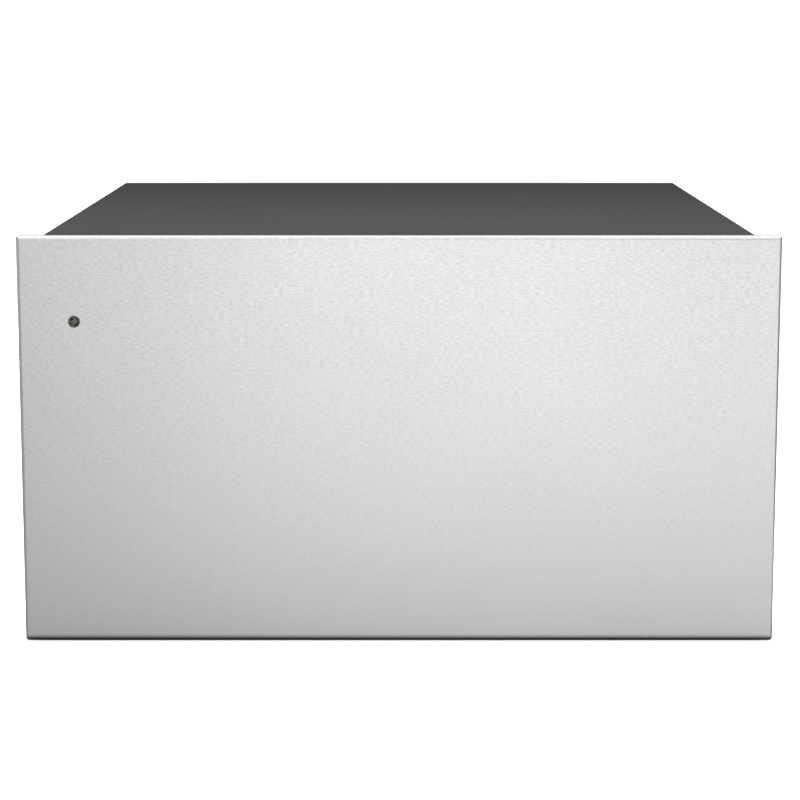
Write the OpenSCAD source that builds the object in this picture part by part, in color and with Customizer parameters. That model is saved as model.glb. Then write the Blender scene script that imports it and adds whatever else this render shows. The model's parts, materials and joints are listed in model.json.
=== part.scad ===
// Built-in warming drawer with a plain push-to-open stainless front.
// A dark sheet-steel casing carries a drawer on ball-bearing runners, and a fan heater in its head.
// Frame: +X to the right and +Y to the rear as seen from the front, +Z up, floor at Z = 0.

/* [Front] */
// Width of the stainless front
panel_w = 595; // [575:1:620]
// Height of the stainless front
panel_h = 322; // [312:1:345]
// Depth of the folded front, from its face to its back edge
panel_t = 18; // [16:0.5:24]
// Outside radius of the folded edges of the front
panel_bend_r = 2; // [1.2:0.1:3]
// Sheet thickness of the front
panel_sheet = 0.8; // [0.6:0.1:1]
// Gap between the back of the closed front and the casing
panel_gap = 4; // [3:0.5:6]
// Height of the lower edge of the front above the floor
panel_lift = 2; // [1.5:0.5:6]
// Radius of the relief hole where two folded edges meet
relief_r = 1; // [0.6:0.1:1.4]
// Width of the open seam between two folded edges at a corner
seam_w = 0.6; // [0.3:0.1:1]
// Clearance of the liner inside the folded edges
liner_clear = 0.2; // [0.1:0.05:0.5]
// Depth of the folded edge of the liner
liner_fold = 10; // [6:0.5:12]
// Thickness of the seal lip where it is stuck to the liner
seal_base_t = 1.5; // [1:0.1:2]

/* [Pilot light] */
// Distance of the pilot light from the left side of the casing
pilot_inset = 26.6; // [18:0.1:40]
// Height of the pilot light above the ceiling of the drawer bay
pilot_rise = 16; // [12:0.5:30]
// Diameter of the light pipe
pipe_d = 5; // [3:0.1:6]
// Radial clearance of the light pipe in its bezel
pipe_clear = 0.1; // [0.05:0.01:0.2]
// Diameter of the bezel flange
bezel_d = 9.3; // [8.5:0.1:12]
// How far the bezel stands proud of the front
bezel_proud = 0.8; // [0.4:0.1:1.5]
// Wall of the bezel sleeve
bezel_wall = 0.8; // [0.5:0.1:1]

/* [Casing] */
// Width of the casing over its top cover
case_w = 560; // [530:1:570]
// Depth of the casing
case_d = 528; // [510:1:560]
// Height of the casing without its feet
case_h = 320; // [312:1:340]
// Sheet thickness of the casing
sheet = 1; // [0.8:0.1:1.2]
// Outside bend radius of the casing's folds
fold_r = 1.8; // [1.4:0.1:2.4]
// Width of the joining flanges and lips
flange_w = 14; // [12:0.5:16]
// Width of the front lip that the seal meets
lip_w = 7; // [6:0.5:8]
// Height of the head space above the drawer bay
head_h = 82; // [78:1:95]
// Depth of the rear space behind the drawer tub
rear_space = 50; // [46:1:60]
// Height of the feet
foot_h = 4; // [3:0.5:8]
// Diameter of the feet
foot_d = 28; // [20:1:36]
// Distance of the feet from the sides of the casing
foot_inset = 50; // [40:1:90]
// Radius of the cabinet fixing holes
fix_hole_r = 2.5; // [2:0.1:3]
// Vertical distance between the two fixing holes of a side
fix_spacing = 200; // [180:1:220]
// Distance of the fixing holes behind the casing's front edge
fix_setback = 15; // [12:0.5:20]
// Length of a cooling slot
vent_l = 46; // [30:1:60]
// Width of a cooling slot
vent_w = 4; // [3:0.5:5]
// Distance between cooling slots
vent_pitch = 9; // [7:0.5:12]
// Width of the bridge between two columns of cooling slots
vent_bridge = 10; // [6:0.5:20]
// Depth of the pressed stiffening bead in a side panel
bead_depth = 2; // [1:0.1:3]

/* [Drawer] */
// Sheet thickness of the drawer tub
tub_sheet = 0.8; // [0.6:0.1:1]
// Radius of the folds around the tub's floor
tub_floor_r = 8; // [5:0.5:14]
// Radius of the tub's upright corners
tub_corner_r = 14; // [10:0.5:20]
// Outward width of the tub's rim
tub_rim = 5; // [3:0.5:5.5]
// Clearance between the tub's floor and the casing's base
tub_under = 10; // [9:0.5:16]
// Clearance between the tub's rim and the ceiling
tub_over = 8; // [6:0.5:12]
// Thickness of the anti-slip mat
mat_t = 2; // [1.5:0.1:3]
// Travel of the drawer
drawer_travel = 420; // [380:5:440]

/* [Runners] */
// Length of a runner
rail_len = 450; // [440:5:475]
// Height of a runner
rail_h = 45; // [42:0.5:50]
// Thickness of a runner, from the casing's side to the tub
rail_t = 12.7; // [12.7:0.1:14]
// Sheet thickness of the runner members
rail_sheet = 1.2; // [1.1:0.05:1.3]
// Height of the runners' centre line above the tub's floor
rail_rise = 80; // [60:1:110]
// Setback of the runners behind the casing's front edge
rail_setback = 3; // [2:0.5:6]
// Diameter of the runner balls
ball_d = 3.2; // [3:0.1:3.3]
// Running clearance of a ball in its race
ball_clear = 0.06; // [0.04:0.01:0.1]
// Depth of a race in its leg
race_depth = 0.35; // [0.2:0.05:0.4]
// Length of a ball cage
cage_len = 190; // [150:5:200]
// Thickness of a ball cage
cage_sheet = 0.6; // [0.5:0.05:0.7]
// Balls in each row of a cage
balls_per_row = 8; // [5:1:10]

/* [Fan heater] */
// Width of the heater pan
pan_w = 300; // [280:1:340]
// Depth of the heater pan, front to back
pan_d = 260; // [240:1:300]
// Height of the heater pan
pan_h = 36; // [34:0.5:38]
// Sheet thickness of the heater pan
pan_sheet = 0.8; // [0.6:0.1:1]
// Diameter of the fan rotor
rotor_d = 130; // [110:1:140]
// Height of the fan blades
blade_h = 20; // [16:0.5:21]
// Number of fan blades
blade_count = 14; // [8:1:18]
// Thickness of the fan blades and disc
blade_t = 1; // [0.8:0.1:1.5]
// Diameter of the fan shaft
fan_shaft_d = 6; // [5:0.1:7]
// Running clearance of the fan shaft
fan_shaft_clear = 0.05; // [0.03:0.01:0.08]
// Diameter of the heating ring at the middle of its tube
heater_ring_d = 176; // [165:1:190]
// Diameter of the heater tube
heater_tube_d = 6.4; // [5.5:0.1:7]
// Diameter of the fan motor's can
motor_d = 64; // [50:1:80]
// Height of the fan motor's can
motor_h = 24; // [18:0.5:26]
// Height of the posts under the motor
motor_post_h = 6; // [5:0.5:8]

/* [Controls] */
// Distance of the control fascia behind the casing's front edge
fascia_recess = 24; // [23:0.5:30]
// Thickness of the control fascia
fascia_t = 2; // [1.5:0.1:3]
// Distance of the knob from the pilot light
knob_step = 75; // [60:1:100]
// Diameter of the temperature knob
knob_d = 36; // [30:0.5:42]
// Height of the temperature knob
knob_h = 18; // [16:0.5:19]
// Diameter of the knob's shaft
knob_shaft_d = 6; // [5:0.1:7]
// Running clearance of the knob's shaft in its bush
knob_shaft_clear = 0.05; // [0.03:0.01:0.08]
// Gap between the knob and the fascia
knob_gap = 1; // [0.6:0.1:2]
// Distance of the rocker switch from the knob
rocker_step = 70; // [45:1:90]
// Length of the rocker
rocker_l = 18.6; // [16:0.1:22]
// Width of the rocker
rocker_w = 11; // [9:0.1:14]
// Tilt of the rocker either side of level, in degrees
rocker_tilt = 8; // [5:0.5:9]

/* [Push latch] */
// Height of the latch axis above the casing's base
latch_rise = 52; // [45:1:70]
// Length of the latch body
latch_len = 30; // [28:0.5:34]
// Width of the latch body
latch_w = 22; // [18:0.5:30]
// Diameter of the latch plunger
plunger_d = 9.6; // [8:0.1:11]
// Running clearance of the plunger in its body
plunger_clear = 0.08; // [0.05:0.01:0.1]
// Press-in stroke of the plunger
plunger_stroke = 3; // [2:0.1:4]
// Diameter of the magnet on the plunger
magnet_d = 13; // [11:0.5:16]
// Thickness of the magnet
magnet_t = 4; // [3:0.5:5]
// Thickness of the strike plate on the tub
strike_t = 2; // [1.5:0.1:3]
// Wire diameter of the latch spring
spring_wire = 0.9; // [0.6:0.1:1]

/* [Mains connection] */
// Depth of the terminal cover behind the casing
rear_box_d = 20; // [19:0.5:28]
// Width of the terminal cover
rear_box_w = 96; // [80:1:120]
// Height of the terminal cover
rear_box_h = 64; // [56:1:80]
// Wall of the terminal cover
rear_box_wall = 2; // [1.5:0.1:2.4]
// Distance of the terminal cover from the middle of the casing
rear_box_x = 170; // [120:1:190]
// Diameter of the cord passage in the gland
gland_bore_d = 7.5; // [6:0.1:8]
// Diameter of the gland's thread
gland_thread_d = 12; // [11.5:0.1:12.5]

/* [Hidden] */
$fn = 48;
// Space left between pieces that must not touch
clear = 0.3;
// Depth by which a cutter passes the face that it cuts
over = 1;
// Radial clearance of a screw or rivet in its hole
screw_clear = 0.05;

// Depth levels, from the front of the bezel to the back of the terminal cover
overall_d = bezel_proud + panel_t + panel_gap + case_d + rear_box_d;
y_front = -overall_d / 2 + bezel_proud;
y_panel_back = y_front + panel_t;
y_case = y_panel_back + panel_gap;
y_back = y_case + case_d;
// Outer face of the back panel, one sheet inside the top cover's rear lip
y_back_panel = y_back - sheet;
// Rear end of what stands between the side panels, in front of their rear folds
y_inner_back = y_back_panel - sheet - fold_r;
y_fascia = y_case + fascia_recess;
y_fascia_back = y_fascia + fascia_t;
tub_d = panel_gap + case_d - 2 * sheet - rear_space;
y_tub_back = y_panel_back + tub_d;
y_fan = (y_fascia_back + y_back) / 2;

// Height levels
z_base = foot_h;
z_top = z_base + case_h;
z_ceiling = z_top - head_h;
z_head_floor = z_ceiling + sheet;
z_head_top = z_top - sheet;
// Upper end of the walls, under the inner radius of the top cover's folds
z_wall_top = z_top - fold_r - clear;
z_tub = z_base + sheet + tub_under;
tub_h = z_ceiling - tub_over - z_tub;
z_panel_mid = panel_lift + panel_h / 2;
z_rail = z_tub + rail_rise;
z_pilot = z_ceiling + pilot_rise;
z_controls = (z_head_floor + z_head_top) / 2;
z_latch = z_base + latch_rise;

z_fixing = z_base + case_h / 2 - 15;

// Width levels: the side panels stand one sheet inside the top cover's lips
x_side_out = case_w / 2 - sheet;
x_side_in = x_side_out - sheet;
tub_w = 2 * (x_side_in - rail_t);
x_pilot = -(case_w / 2 - pilot_inset);
x_knob = x_pilot + knob_step;
x_rocker = x_knob + rocker_step;

// Screws of the casing
screw_d = 3.4;
screw_head_d = 6.8;
screw_head_h = 1.8;
screw_len = 6;
screw_rows = 3;
lip_screw_drop = flange_w * 0.6;

// Push-in feet
foot_stem_r = 3;
foot_head_r = 4.6;
foot_head_h = 3;
foot_chamfer = 1;

// Stiffening bead of a side panel
bead_w = 26;
bead_end_space = 70;
z_bead = (z_rail + rail_h / 2 + z_ceiling) / 2;

// Liner and insulation of the front
liner_w = panel_w - 2 * (panel_sheet + liner_clear);
liner_h = panel_h - 2 * (panel_sheet + liner_clear);
y_liner_in = y_panel_back - sheet;
pipe_hole_r = pipe_d / 2 + pipe_clear;
bezel_sleeve_r = pipe_hole_r + bezel_wall;
bezel_sleeve_l = 6;
pipe_tail = 1.5;

// Cross-section of the runners: u runs inwards from the casing's side, v runs up from the centre line
race_r = ball_d / 2 + ball_clear;
race_gap = 2 * (race_r - race_depth);
outer_half = rail_h / 2;
outer_ball_v = outer_half - rail_sheet + race_depth - race_r;
middle_half = outer_half - rail_sheet - race_gap;
inner_ball_v = middle_half - rail_sheet + race_depth - race_r;
inner_half = middle_half - rail_sheet - race_gap;
rail_bend_r = rail_sheet + 0.8;
cage_gap = 0.3;
middle_u = rail_sheet + 2 * cage_gap + cage_sheet;
inner_leg_u = middle_u + rail_sheet + 2 * cage_gap + cage_sheet;
leg_end_u = rail_t - rail_sheet - clear - 1;
outer_ball_u = (middle_u + leg_end_u) / 2;
inner_ball_u = (inner_leg_u + leg_end_u) / 2;
pocket_clear = 0.12;
pocket_rim = 0.8;
y_rail = y_case + rail_setback;
y_rail_end = y_rail + rail_len;
y_cage = (y_rail + y_rail_end) / 2 - cage_len / 2;
ball_pitch = cage_len / balls_per_row;
rail_fixings = 3;
rail_fix_space = 45;
rail_fix_step = (rail_len - 2 * rail_fix_space) / (rail_fixings - 1);
rivet_d = 4;
rivet_head_d = 8;
rivet_head_h = 1.2;

// Fan heater
z_pan_top = z_head_floor + pan_h;
pan_flange = 10;
pan_corner_r = 20;
rotor_lift = 5;
z_blades = z_head_floor + rotor_lift;
z_disc = z_blades + blade_h;
hub_d = 18;
hub_top = 6;
blade_arc_c = rotor_d * 0.385;
blade_arc_r = rotor_d * 0.23;
blade_in_r = rotor_d * 0.31;
z_heater = z_blades + blade_h / 2;
heater_r = heater_ring_d / 2;
heater_gap_angle = 36;
heater_leg_up = 14;
heater_pin_d = 3.2;
heater_pin_l = 8;
z_motor = z_pan_top + motor_post_h;
motor_post_in = 6;
shaft_in_motor = motor_h - 4;
inlet_d = rotor_d - 20;
clip_w = 6;
clip_wall = 1.2;
clip_bore_r = heater_tube_d / 2 + 0.2;

// Latch, from the tub to the rear
y_strike = y_tub_back;
y_magnet = y_strike + strike_t + clear;
y_plunger = y_magnet + magnet_t;
y_latch = y_plunger + plunger_stroke + 1.5;
plunger_in = latch_len * 0.4;
latch_end_wall = 2.5;
latch_h = latch_w;
spring_seat = 3;
spring_turns = 6;
spring_rings = 8;
spring_sides = 6;

// Lamp behind the pilot light
lamp_spigot_r = 3.4;
lamp_tube_r = 4.2;
lamp_tail = 6;
lamp_gap = 2;

// Thermostat behind the knob
thermostat_size = 36;
thermostat_d = 30;
bush_d = 9;
bush_l = 4;
nut_af = 13;
nut_t = 2;
knob_rear_bore_d = 20;
knob_rear_bore_l = 5;
shaft_into_knob = 12;

// Rocker switch
rocker_clear = 0.3;
rocker_end_clear = 0.75;
rocker_pocket_l = rocker_l + 2 * rocker_end_clear;
rocker_pocket_w = rocker_w + 2 * rocker_clear;
rocker_wall = 1.1;
rocker_body_l = rocker_pocket_l + 2 * rocker_wall;
rocker_body_w = rocker_pocket_w + 2 * rocker_wall;
rocker_frame = 1.6;
rocker_frame_t = 1.6;
rocker_pocket_d = 9;
rocker_body_d = 20;
rocker_pin_r = 1.5;
rocker_pin_clear = 0.06;
rocker_pivot_in = 2;
y_rocker_face = y_fascia - rocker_frame_t;

// Terminal cover and gland
y_box_end = y_back + rear_box_d;
box_depth = y_box_end - y_back_panel;
box_drop = 2;
z_box = z_top - flange_w - box_drop - rear_box_h / 2;
rear_box_in_w = rear_box_w - 2 * rear_box_wall;
rear_box_in_h = rear_box_h - 2 * rear_box_wall;
box_ear = 14;
box_corner_r = 6;
block_w = 44;
block_h = 18;
block_flange = 3;
block_flange_t = 2;
block_out = 12;
block_in = 10;
pole_r = 2.4;
pole_depth = 7;
z_block = z_box + rear_box_h / 8;
y_gland = y_back_panel + box_depth / 2;
gland_hex_r = 8.4;
gland_hex_t = 4;
gland_dome_l = 14;
gland_nut_t = 3;
gland_collar_d = gland_thread_d + 2.6;
gland_collar_l = 5.6;
gland_low = gland_hex_t + gland_dome_l;
gland_high = rear_box_wall + gland_nut_t + 1.5;
z_gland = z_box - rear_box_h / 2;

// Flat outlines

// Rectangle with round corners, centred
module rounded(w, h, r) {
    square([w - 2 * r, h], center = true);
    square([w, h - 2 * r], center = true);
    for (x = [-1, 1], y = [-1, 1]) translate([x * (w / 2 - r), y * (h / 2 - r)]) circle(r);
}

// Slot with round ends along x, centred
module slot(l, w) {
    square([l - w, w], center = true);
    for (s = [-1, 1]) translate([s * (l - w) / 2, 0]) circle(w / 2);
}

// Quarter ring of a bent sheet, in the lower left quadrant of its centre
module bend(t, r) {
    intersection() {
        difference() {
            circle(r);
            circle(r - t);
        }
        translate([-r, -r]) square(r);
    }
}

// Sheet folded to a U: a web along x and a leg up at each end
module folded(web, leg_a, leg_b, t, r) {
    translate([r, 0]) square([web - 2 * r, t]);
    translate([r, r]) bend(t, r);
    translate([0, r]) square([t, leg_a - r]);
    translate([web - r, r]) mirror([1, 0]) bend(t, r);
    translate([web - t, r]) square([t, leg_b - r]);
}

// Rectangle standing on y = 0 with round lower corners
module trough(w, h, r) {
    translate([-w / 2 + r, 0]) square([w - 2 * r, h]);
    translate([-w / 2, r]) square([w, h - r]);
    for (s = [-1, 1]) translate([s * (w / 2 - r), r]) circle(r);
}

// Ways of standing an outline up

// Extrudes an outline of x and z from y0 to y1
module along_y(y0, y1) {
    translate([0, y1, 0]) rotate([90, 0, 0]) linear_extrude(y1 - y0) children();
}

// Extrudes an outline of y and z over a width that is centred on x = 0
module along_x(w) {
    rotate([90, 0, 90]) translate([0, 0, -w / 2]) linear_extrude(w) children();
}

// Turns a piece that was drawn along z to point to the front
module facing_front() {
    rotate([90, 0, 0]) children();
}

// Turns a piece that was drawn along z to point to the rear
module facing_rear() {
    rotate([-90, 0, 0]) children();
}

// Draws a piece of the left side, or its mirror image for the right side
module on_side(side) {
    mirror([side > 0 ? 1 : 0, 0, 0]) children();
}

// Block with rounded lower edges, and the tray that is left when it is hollowed

module round_block(w, d, h, r) {
    intersection() {
        along_y(-d / 2, d / 2) trough(w, h, r);
        along_x(w) trough(d, h, r);
    }
}

module tray(w, d, h, t, r) {
    difference() {
        round_block(w, d, h, r);
        translate([0, 0, t]) round_block(w - 2 * t, d - 2 * t, h, r - t);
    }
}

// Pan-head screw with its head's seat at z = 0 and its shank down
module pan_screw(len) {
    difference() {
        union() {
            cylinder(d = screw_head_d, h = screw_head_h * 0.6);
            translate([0, 0, screw_head_h * 0.6]) {
                cylinder(d1 = screw_head_d, d2 = screw_head_d * 0.7, h = screw_head_h * 0.4);
            }
            translate([0, 0, -len]) cylinder(d = screw_d, h = len);
        }
        for (a = [0, 90]) rotate(a) {
            translate([0, 0, screw_head_h]) cube([screw_head_d * 0.55, 0.8, screw_head_h], center = true);
        }
    }
}

module screw_hole(depth) {
    translate([0, 0, -depth]) cylinder(r = screw_d / 2 + screw_clear, h = depth + over);
}

module rivet_hole() {
    translate([0, 0, -screw_len]) cylinder(r = rivet_d / 2 + screw_clear, h = 2 * screw_len);
}

// Places of the screws, with z pointing out of the sheet that the head sits on

module at_cover_screws() {
    for (side = [-1, 1], i = [0:screw_rows - 1]) {
        translate([side * case_w / 2, y_case + case_d * (i + 0.5) / screw_rows, z_top - lip_screw_drop]) {
            rotate([0, side * 90, 0]) children();
        }
    }
    for (i = [0:screw_rows - 1]) {
        translate([case_w * ((i + 0.5) / screw_rows - 0.5), y_back, z_top - lip_screw_drop]) {
            facing_rear() children();
        }
    }
}

module at_back_screws() {
    for (side = [-1, 1], i = [0:screw_rows - 1]) {
        z = z_base + case_h * (i + 0.4) / screw_rows;
        translate([side * (x_side_out - flange_w / 2), y_back_panel, z]) {
            facing_rear() children();
        }
    }
}

module at_box_screws() {
    for (s = [-1, 1]) {
        translate([rear_box_x + s * (rear_box_w + box_ear) / 2, y_back_panel + rear_box_wall, z_box]) {
            facing_rear() children();
        }
    }
}

module at_rail_fixings(side) {
    for (i = [0:rail_fixings - 1]) {
        translate([side * x_side_out, y_rail + rail_fix_space + rail_fix_step * i, z_rail]) {
            rotate([0, side * 90, 0]) children();
        }
    }
}

module at_front_screws() {
    x_screw = tub_w / 2 - tub_corner_r - screw_head_d;
    for (x = [-1, 1], z = [0.2, 0.85]) {
        translate([x * x_screw, y_panel_back + tub_sheet, z_tub + tub_h * z]) {
            facing_rear() children();
        }
    }
}

module at_feet() {
    for (x = [-1, 1], y = [y_case + foot_inset, y_back - foot_inset]) {
        translate([x * (case_w / 2 - foot_inset), y, 0]) children();
    }
}

module at_fixing_holes(side) {
    for (s = [-1, 1]) {
        translate([side * x_side_out, y_case + fix_setback, z_fixing + s * fix_spacing / 2]) {
            rotate([0, side * 90, 0]) children();
        }
    }
}

module at_pilot() {
    translate([x_pilot, y_front, z_pilot]) children();
}

// Casing

module base_panel() {
    inner_w = 2 * x_side_in;
    color("dimgray") difference() {
        union() {
            translate([-inner_w / 2, 0, z_base]) along_y(y_case + fold_r, y_inner_back) {
                folded(inner_w, flange_w, flange_w, sheet, fold_r);
            }
            translate([0, y_case, z_base]) along_x(inner_w - 2 * (lip_w + clear)) {
                folded(y_inner_back - y_case, lip_w, flange_w, sheet, fold_r);
            }
        }
        at_feet() cylinder(r = foot_stem_r + screw_clear, h = z_base + flange_w);
    }
}

// Cooling slots over a field that is centred on the origin of an upright plane
module vent_field(columns, rows) {
    for (i = [0:columns - 1], j = [0:rows - 1]) {
        x = (i - (columns - 1) / 2) * (vent_l + vent_bridge);
        y = (j - (rows - 1) / 2) * vent_pitch;
        translate([x, y]) slot(vent_l, vent_w);
    }
}

module side_panel(side) {
    depth = y_back_panel - sheet - y_case;
    height = z_wall_top - z_base;
    bead_l = depth - 2 * bead_end_space;
    color("dimgray") on_side(side) difference() {
        union() {
            translate([-x_side_out, y_case, z_base]) linear_extrude(height) {
                mirror([1, 0]) rotate(90) folded(depth, lip_w, flange_w, sheet, fold_r);
            }
            translate([-x_side_out, y_case + depth / 2, z_bead]) rotate([90, 0, 90]) {
                linear_extrude(sheet + bead_depth) slot(bead_l, bead_w);
            }
        }
        translate([-x_side_out - over, y_case + depth / 2, z_bead]) rotate([90, 0, 90]) {
            linear_extrude(bead_depth + over) slot(bead_l - 2 * sheet, bead_w - 2 * sheet);
        }
        translate([-x_side_in, y_case - over, z_rail - outer_half - 2]) {
            cube([flange_w, over + fold_r, rail_h + 4]);
        }
        // The front corner makes way for the top cover's front lip
        translate([-case_w / 2, y_case - over, z_top - lip_w - clear]) cube([flange_w, over + fold_r, lip_w]);
        translate([-x_side_out - over, y_back - bead_end_space - vent_l, z_ceiling + head_h * 0.4]) {
            rotate([90, 0, 90]) linear_extrude(2 * over + sheet) vent_field(2, 4);
        }
        at_cover_screws() screw_hole(screw_len);
        at_back_screws() screw_hole(screw_len);
        at_rail_fixings(-1) rivet_hole();
        at_fixing_holes(-1) translate([0, 0, -screw_len]) cylinder(r = fix_hole_r, h = 2 * screw_len);
    }
}

module top_cover() {
    color("dimgray") difference() {
        translate([0, y_case + case_d / 2, z_top]) mirror([0, 0, 1]) {
            tray(case_w, case_d, flange_w, sheet, fold_r);
        }
        // The front lip is narrower than the side lips
        translate([-case_w, y_case - over, z_top - flange_w - over]) {
            cube([2 * case_w, over + fold_r, flange_w - lip_w + over]);
        }
        at_cover_screws() screw_hole(screw_len);
    }
}

module back_panel() {
    color("dimgray") difference() {
        along_y(y_back_panel - sheet, y_back_panel) {
            translate([-x_side_out, z_base]) square([2 * x_side_out, z_wall_top - z_base]);
        }
        translate([-rear_box_x, y_back_panel, z_controls]) rotate([90, 0, 0]) {
            translate([0, 0, -over]) linear_extrude(2 * over + sheet) vent_field(3, 5);
        }
        translate([rear_box_x, y_back_panel, z_block]) rotate([90, 0, 0]) translate([0, 0, -over]) {
            linear_extrude(2 * over + sheet) {
                square([block_w + 2 * clear, block_h + 2 * clear], center = true);
            }
        }
        at_back_screws() screw_hole(screw_len);
        at_cover_screws() screw_hole(screw_len);
        at_box_screws() screw_hole(screw_len);
    }
}

module ceiling_grille() {
    inner_w = 2 * x_side_in;
    rings = 4;
    ring_step = inlet_d / 2 / (rings + 0.5);
    outlet_x = pan_w / 2 - pan_flange * 2;
    color("silver") difference() {
        translate([-inner_w / 2, 0, z_ceiling]) along_y(y_fascia, y_inner_back) {
            folded(inner_w, flange_w, flange_w, sheet, fold_r);
        }
        translate([0, y_fan, z_ceiling - over]) linear_extrude(sheet + 2 * over) {
            for (k = [1:rings], i = [0:3 * k - 1]) rotate(360 * i / (3 * k)) {
                translate([k * ring_step, 0]) circle(ring_step * 0.36);
            }
            for (s = [-1, 1], j = [-3:3]) {
                translate([s * outlet_x, j * pan_d / 9]) rotate(90) slot(pan_d / 12, vent_w);
            }
        }
        at_pan_screws() screw_hole(screw_len);
    }
}

module at_pan_screws() {
    x_screw = pan_w / 2 - pan_corner_r;
    y_screw = (pan_d + pan_flange) / 2;
    for (x = [-1, 1], y = [-1, 1]) {
        translate([x * x_screw, y_fan + y * y_screw, z_head_floor + pan_sheet]) children();
    }
}

// Inverted pan that closes the hot chamber over the grille
module heater_pan() {
    color("lightgray") difference() {
        translate([0, y_fan, z_head_floor]) {
            linear_extrude(pan_sheet) {
                rounded(pan_w + 2 * pan_flange, pan_d + 2 * pan_flange, pan_corner_r + pan_flange);
            }
            linear_extrude(pan_h) rounded(pan_w, pan_d, pan_corner_r);
        }
        translate([0, y_fan, z_head_floor - over]) {
            linear_extrude(pan_h - pan_sheet + over) {
                rounded(pan_w - 2 * pan_sheet, pan_d - 2 * pan_sheet, pan_corner_r - pan_sheet);
            }
            cylinder(d = fan_shaft_d + 6, h = pan_h + 2 * over);
        }
        at_heater_legs() cylinder(r = heater_tube_d / 2 + clear, h = pan_h);
        at_pan_screws() screw_hole(screw_len);
        at_motor_posts() cylinder(d = screw_d, h = 4 * over, center = true);
    }
}

module at_heater_legs() {
    for (s = [-1, 1]) {
        translate([0, y_fan, z_heater]) rotate(-90 + s * heater_gap_angle / 2) {
            translate([heater_r, 0, 0]) children();
        }
    }
}

// Sheathed heating element: an open ring whose ends turn up through the pan
module heating_ring() {
    color("slategray") {
        translate([0, y_fan, z_heater]) rotate(-90 + heater_gap_angle / 2) {
            rotate_extrude(angle = 360 - heater_gap_angle) {
                translate([heater_r, 0]) circle(d = heater_tube_d);
            }
        }
        at_heater_legs() {
            leg_h = z_pan_top - z_heater + heater_leg_up;
            sphere(d = heater_tube_d);
            cylinder(d = heater_tube_d, h = leg_h);
            translate([0, 0, leg_h]) cylinder(d = heater_pin_d, h = heater_pin_l);
        }
    }
}

// Loops that hang the heating element from the pan
module heater_clips() {
    color("silver") for (a = [30, 150, 90]) translate([0, y_fan, z_heater]) rotate(a) {
        translate([heater_r, 0, 0]) rotate([90, 0, 0]) difference() {
            union() {
                cylinder(r = clip_bore_r + clip_wall, h = clip_w, center = true);
                translate([-clip_wall, 0, -clip_w / 2]) {
                    cube([2 * clip_wall, z_pan_top - pan_sheet - z_heater, clip_w]);
                }
            }
            cylinder(r = clip_bore_r, h = clip_w + 2 * over, center = true);
        }
    }
}

module at_motor_posts() {
    for (a = [45, 165, 285]) {
        translate([0, y_fan, z_pan_top]) rotate(a) translate([motor_d / 2 - motor_post_in, 0, 0]) children();
    }
}

module motor_posts() {
    color("gainsboro") at_motor_posts() cylinder(d = 8, h = motor_post_h, $fn = 6);
}

// Round can motor with a cooling slot pattern and a bearing boss
module fan_motor() {
    slots = 12;
    color("darkgray") translate([0, y_fan, z_motor]) difference() {
        union() {
            cylinder(d = motor_d, h = motor_h);
            cylinder(d = 16, h = motor_h + 4);
        }
        translate([0, 0, -over]) cylinder(r = fan_shaft_d / 2 + fan_shaft_clear, h = shaft_in_motor + over);
        for (i = [0:slots - 1]) rotate(360 * i / slots) {
            translate([motor_d / 2, 0, motor_h / 2]) cube([6, 4, motor_h * 0.6], center = true);
        }
    }
}

module thermal_cutout() {
    color("black") translate([pan_w / 3, y_fan, z_pan_top]) {
        cylinder(d = 24, h = 1);
        cylinder(d = 16, h = 9);
        for (s = [-1, 1]) translate([s * 4, 0, 12]) cube([0.8, 6.3, 8], center = true);
    }
}

module control_fascia() {
    height = z_head_top - z_head_floor;
    lip = 8;
    color([0.12, 0.12, 0.13]) difference() {
        translate([0, y_fascia, z_head_floor]) {
            along_x(2 * (x_side_in - fold_r - clear)) {
                mirror([1, 0]) rotate(90) folded(height, lip, lip, fascia_t, fascia_t + 1);
            }
        }
        translate([x_pilot, y_fascia, z_pilot]) facing_rear() {
            translate([0, 0, -over]) cylinder(r = lamp_spigot_r + screw_clear, h = fascia_t + 2 * over);
        }
        translate([x_knob, y_fascia, z_controls]) facing_rear() {
            translate([0, 0, -over]) cylinder(r = bush_d / 2 + screw_clear, h = fascia_t + 2 * over);
        }
        translate([x_rocker, 0, z_controls]) along_y(y_fascia - over, y_fascia_back + over) {
            square([rocker_body_w + 2 * rocker_clear, rocker_body_l + 2 * rocker_clear], center = true);
        }
    }
}

// Capillary thermostat: a case behind the fascia and a threaded bush with its nut
module thermostat() {
    color("gainsboro") difference() {
        union() {
            translate([x_knob, y_fascia_back + thermostat_d / 2, z_controls]) {
                cube([thermostat_size, thermostat_d, thermostat_size], center = true);
            }
            translate([x_knob, y_fascia_back, z_controls]) facing_front() {
                cylinder(d = bush_d, h = fascia_t + bush_l);
                translate([0, 0, fascia_t]) cylinder(d = nut_af / cos(30), h = nut_t, $fn = 6);
            }
        }
        translate([x_knob, y_fascia_back + thermostat_d * 0.6, z_controls]) facing_front() {
            cylinder(r = knob_shaft_d / 2 + knob_shaft_clear, h = thermostat_d + fascia_t + bush_l);
        }
    }
}

module rocker_housing() {
    color([0.1, 0.1, 0.1]) translate([x_rocker, y_rocker_face, z_controls]) difference() {
        union() {
            along_y(0, rocker_frame_t) {
                square([rocker_body_w + 2 * rocker_frame, rocker_body_l + 2 * rocker_frame], center = true);
            }
            along_y(0, rocker_body_d) square([rocker_body_w, rocker_body_l], center = true);
        }
        along_y(-over, rocker_pocket_d) square([rocker_pocket_w, rocker_pocket_l], center = true);
        translate([0, rocker_pivot_in, 0]) rotate([0, 90, 0]) {
            cylinder(r = rocker_pin_r + rocker_pin_clear, h = 2 * rocker_body_w, center = true);
        }
    }
}

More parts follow.
